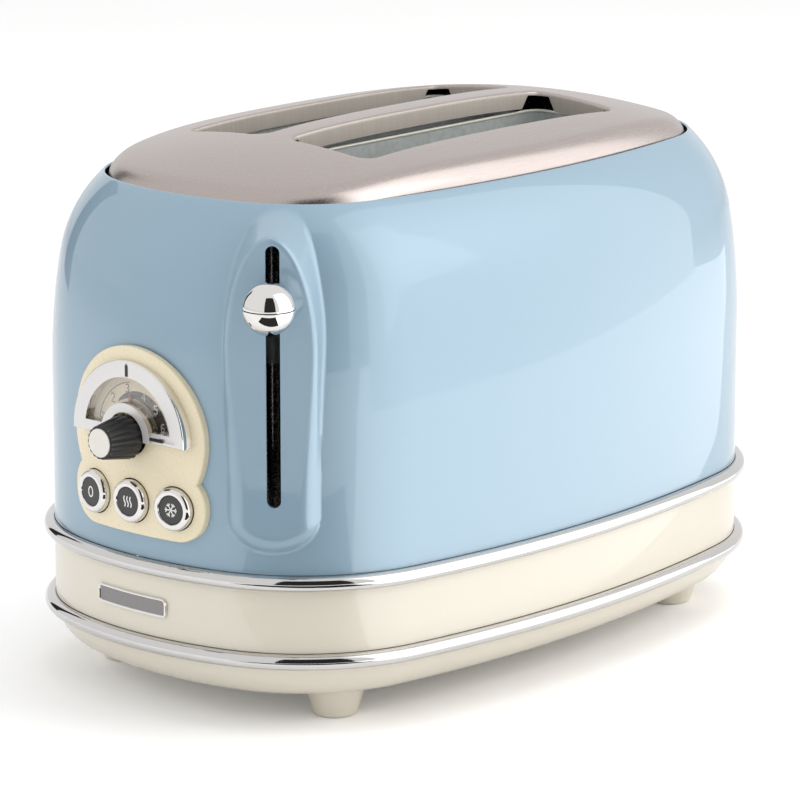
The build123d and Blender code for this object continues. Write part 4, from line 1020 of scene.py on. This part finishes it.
def makeBadge():
    points = []
    middleZ = (badge["low"] + badge["high"]) / 2
    halfZ = (badge["high"] - badge["low"]) / 2

    def loopAt(inset, proud):
        corner = max(badge["corner"] - inset, 0.3)
        halfX, halfY = badge["halfWidth"] - inset, halfZ - inset
        for i, (signX, signY) in enumerate(((1, 1), (-1, 1), (-1, -1), (1, -1))):
            centre = (signX * (halfX - corner), signY * (halfY - corner))
            corners = arcPoints(centre, corner, 90 * i, 90 * i + 90, 6)
            following = ((-1, 1), (-1, -1), (1, -1), (1, 1))[i]
            endPoint = (following[0] * (halfX - corner), following[1] * (halfY - corner))
            lastU, lastV = corners[-1]
            nextU = endPoint[0] if i % 2 == 0 else lastU
            nextV = lastV if i % 2 == 0 else endPoint[1]
            run = [(lastU + (nextU - lastU) * j / 8, lastV + (nextV - lastV) * j / 8) for j in range(1, 8)]
            for u, v in corners + run:
                x = badge["side"] + u
                y = -badge["end"] - sqrt((badge["wall"] + proud) ** 2 - x ** 2)
                points.append((x, y, middleZ + v))

    levels = [(0, -0.3), (0, badge["proud"] - 0.35), (0.1, badge["proud"] - 0.1), (0.35, badge["proud"]),
              (badge["border"] - 0.25, badge["proud"]), (badge["border"], badge["proud"] - 0.2),
              (badge["border"] + 0.15, badge["proud"] - badge["sink"])]
    for inset, proud in levels:
        loopAt(inset, proud)
    count = len(points) // len(levels)
    back, front = tuple(reversed(range(count))), tuple(range((len(levels) - 1) * count, len(levels) * count))
    faces = ringFaces(count, len(levels)) + [back, front]
    piece = makeMesh("badgeBlank", points, faces, 30)
    faceOutwards(piece.data, True)
    finishPiece(piece, chrome, "toaster_body", "chrome", ["badge_plate"])
    piece.data.materials.append(badgeGrey)
    lowSide = -badge["end"] - badge["wall"]
    edge = badge["border"] + 0.05
    faceX, faceZ = badge["halfWidth"] - edge, halfZ - edge
    for polygon in piece.data.polygons:
        corners = [piece.data.vertices[v].co / mm for v in polygon.vertices]
        onFace = all(abs(p.z - middleZ) < faceZ and abs(p.x - badge["side"]) < faceX for p in corners)
        if onFace and polygon.normal.y < -0.5 and polygon.center.y / mm - bodyMiddle < lowSide + 3:
            polygon.material_index = 1


makeBadge()
print("badge made")

# Painted highlight: a pale strip on the folded edge of the collar inside each slot stands for the light it
# catches
collar = {"inner": 4.2, "width": 45.3, "length": 151.0, "corner": 6.0, "top": 202.2, "radius": 0.62}
for side, sideName in ((-1, "left"), (1, "right")):
    middle = side * (collar["inner"] + collar["width"] / 2)
    path = []
    for i, (signX, signY) in enumerate(((1, 1), (-1, 1), (-1, -1), (1, -1))):
        reachX = collar["width"] / 2 - collar["corner"]
        reachY = collar["length"] / 2 - collar["corner"]
        centre = (middle + signX * reachX, signY * reachY)
        corner = arcPoints(centre, collar["corner"], 90 * i, 90 * i + 90, 8)
        path += [(x, y, collar["top"]) for x, y in corner]
    piece = sweepPaths(sideName + "CollarEdge", [path], collar["radius"], 12, collarEdgeHighlight, True)
    finishPiece(piece, collarEdgeHighlight, "toaster_body", slotOf["chassis_top_frame"])
print("collar edges made")

# Wire bread guides: seven uprights between two long bars
guide = {"bar": 0.9, "upright": 0.75, "low": 71.0, "high": 178.0, "top": 193.2, "halfLength": 89.0,
         "pitch": 23.0}
guideX = {"left_outer_guide": -45.6, "left_inner_guide": -7.7, "right_inner_guide": 7.7,
          "right_outer_guide": 45.6}
for node, x in guideX.items():
    end, low = guide["halfLength"], guide["low"]
    bars = [[(x, -end, z), (x, end, z)] for z in (low, guide["high"])]
    uprights = [[(x, guide["pitch"] * i, low), (x, guide["pitch"] * i, guide["top"])] for i in range(-3, 4)]
    name = node.replace("_", "") + "Wires"
    piece = sweepPaths(name, bars, guide["bar"], 14, brushedSteel)
    extra = sweepPaths(name + "Uprights", uprights, guide["upright"], 14, brushedSteel)
    build = bmesh.new()
    build.from_mesh(piece.data)
    build.from_mesh(extra.data)
    build.to_mesh(piece.data)
    build.free()
    bpy.data.objects.remove(extra)
    finishPiece(piece, brushedSteel, bodyOf[node], slotOf[node], [node])
print("guides made")

# Render set-up: camera, floor, world and lamps
camera = {"azimuth": 41.28, "elevation": 13.18, "distance": 1726.5, "targetZ": 100.0,
          "lens": 195.26, "shiftX": -0.0048, "shiftY": -0.0179}
azimuth, elevation = radians(camera["azimuth"]), radians(camera["elevation"])
back = Vector((sin(azimuth) * cos(elevation), -cos(azimuth) * cos(elevation), sin(elevation)))
lens = bpy.data.cameras.new("camera")
lens.lens = camera["lens"]
lens.sensor_width = 36
lens.shift_x = camera["shiftX"]
lens.shift_y = camera["shiftY"]
lens.clip_end = 100
cameraObject = linkObject("camera", lens)
cameraObject.location = toScene((0, 0, camera["targetZ"])) + back * camera["distance"] * mm
cameraObject.rotation_euler = back.to_track_quat("Z", "Y").to_euler()
bpy.context.scene.camera = cameraObject


def makeFloorMaterial():
    material, add, link = emptyMaterial("floorPale")
    diffuse, glow, both = add("ShaderNodeBsdfDiffuse"), add("ShaderNodeEmission"), add("ShaderNodeAddShader")
    path, level, out = add("ShaderNodeLightPath"), add("ShaderNodeMath"), add("ShaderNodeOutputMaterial")
    diffuse.inputs["Color"].default_value = (0.92, 0.92, 0.92, 1)
    glow.inputs["Color"].default_value = (1, 1, 1, 1)
    level.operation = "MULTIPLY"
    level.inputs[1].default_value = studio["floorGlow"]
    link(path.outputs["Is Camera Ray"], level.inputs[0])
    link(level.outputs["Value"], glow.inputs["Strength"])
    link(diffuse.outputs["BSDF"], both.inputs[0])
    link(glow.outputs["Emission"], both.inputs[1])
    link(both.outputs["Shader"], out.inputs["Surface"])
    return material


def cardMaterial(name, level):
    material, add, link = emptyMaterial(name)
    glow, out = add("ShaderNodeEmission"), add("ShaderNodeOutputMaterial")
    glow.inputs["Color"].default_value = (1, 1, 1, 1)
    glow.inputs["Strength"].default_value = level
    link(glow.outputs["Emission"], out.inputs["Surface"])
    return material


# A reflection card is a quad that only mirrors see, so it shapes the highlights and leaves the light alone
def reflectionCard(name, corners, level):
    mesh = bpy.data.meshes.new(name)
    mesh.from_pydata([toScene(p) for p in corners], [], [tuple(range(len(corners)))])
    mesh.materials.append(cardMaterial(name + "Glow", level))
    card = linkObject(name, mesh)
    card.visible_camera = False
    card.visible_diffuse = False
    card.visible_shadow = False


def aroundPoint(angle, reach, height):
    return reach * sin(radians(angle)), -reach * cos(radians(angle)), height


def standingCard(name, fromAngle, toAngle, reach, low, high, level):
    corners = [aroundPoint(fromAngle, reach, low), aroundPoint(toAngle, reach, low),
               aroundPoint(toAngle, reach, high), aroundPoint(fromAngle, reach, high)]
    reflectionCard(name, corners, level)


def softBox(name, place, size, power, colour=(1, 1, 1)):
    lamp = bpy.data.lights.new(name, "AREA")
    lamp.shape = "RECTANGLE"
    lamp.size, lamp.size_y = size
    lamp.energy = power
    lamp.color = colour
    box = linkObject(name, lamp)
    box.location = toScene(place)
    aim = toScene((0, 0, 110)) - box.location
    box.rotation_euler = aim.to_track_quat("-Z", "Y").to_euler()
    box.visible_glossy = False


studio = {"floorGlow": 0.10, "worldCamera": 1.0, "worldLight": 0.80, "worldTent": 0.90}
floorMesh = bpy.data.meshes.new("studioFloor")
floorMesh.from_pydata([(-30, -30, 0), (30, -30, 0), (30, 30, 0), (-30, 30, 0)], [], [(0, 1, 2, 3)])
floorObject = linkObject("studioFloor", floorMesh)
floorMesh.materials.append(makeFloorMaterial())

softBox("keyBox", (1500, 900, 1100), (1.3, 1.0), 16.0, (1.0, 0.95, 0.90))
softBox("topBox", (200, 300, 1700), (1.6, 1.2), 9.0)
softBox("leftBox", (-900, -1300, 900), (1.0, 1.0), 5.5)
reflectionCard("sideFloor", [(170, -160, 0.3), (1500, -420, 0.3), (1500, 1500, 0.3), (170, 1500, 0.3)], 2.5)
reflectionCard("sideWash", [(620, -160, 1), (620, 1400, 1), (620, 1400, 1500), (620, -160, 1500)], 1.9)
reflectionCard("sideCard", [(600, -40, 120), (600, 330, 330), (600, 330, 900), (600, -90, 900)], 2.6)
# Painted shade: a dark card that only mirrors see, on the floor in front where the toaster shades it
reflectionCard("floorShadeReflection", [(30, -330, 0.4), (150, -520, 0.4), (420, -260, 0.4), (165, -110, 0.4)], 0.03)
standingCard("darkMiddle", 24, 68, 1400, 20, 2100, 0.03)
standingCard("darkLeft", -96, -82, 1300, 20, 900, 0.03)

world = bpy.data.worlds.new("studioWorld")
bpy.context.scene.world = world
world.use_nodes = True
worldTree = world.node_tree
worldTree.nodes.clear()
add, link = worldTree.nodes.new, worldTree.links.new
plain, tent, white = add("ShaderNodeBackground"), add("ShaderNodeBackground"), add("ShaderNodeBackground")
path, mirrored, direct, worldOut = (add("ShaderNodeLightPath"), add("ShaderNodeMixShader"),
                                    add("ShaderNodeMixShader"), add("ShaderNodeOutputWorld"))
for background, level in ((plain, "worldLight"), (tent, "worldTent"), (white, "worldCamera")):
    background.inputs["Color"].default_value = (1, 1, 1, 1)
    background.inputs["Strength"].default_value = studio[level]
link(path.outputs["Is Glossy Ray"], mirrored.inputs["Fac"])
link(plain.outputs["Background"], mirrored.inputs[1])
link(tent.outputs["Background"], mirrored.inputs[2])
link(path.outputs["Is Camera Ray"], direct.inputs["Fac"])
link(mirrored.outputs["Shader"], direct.inputs[1])
link(white.outputs["Background"], direct.inputs[2])
link(direct.outputs["Shader"], worldOut.inputs["Surface"])
print("studio made")

bpy.context.scene.view_settings.view_transform = "Standard"
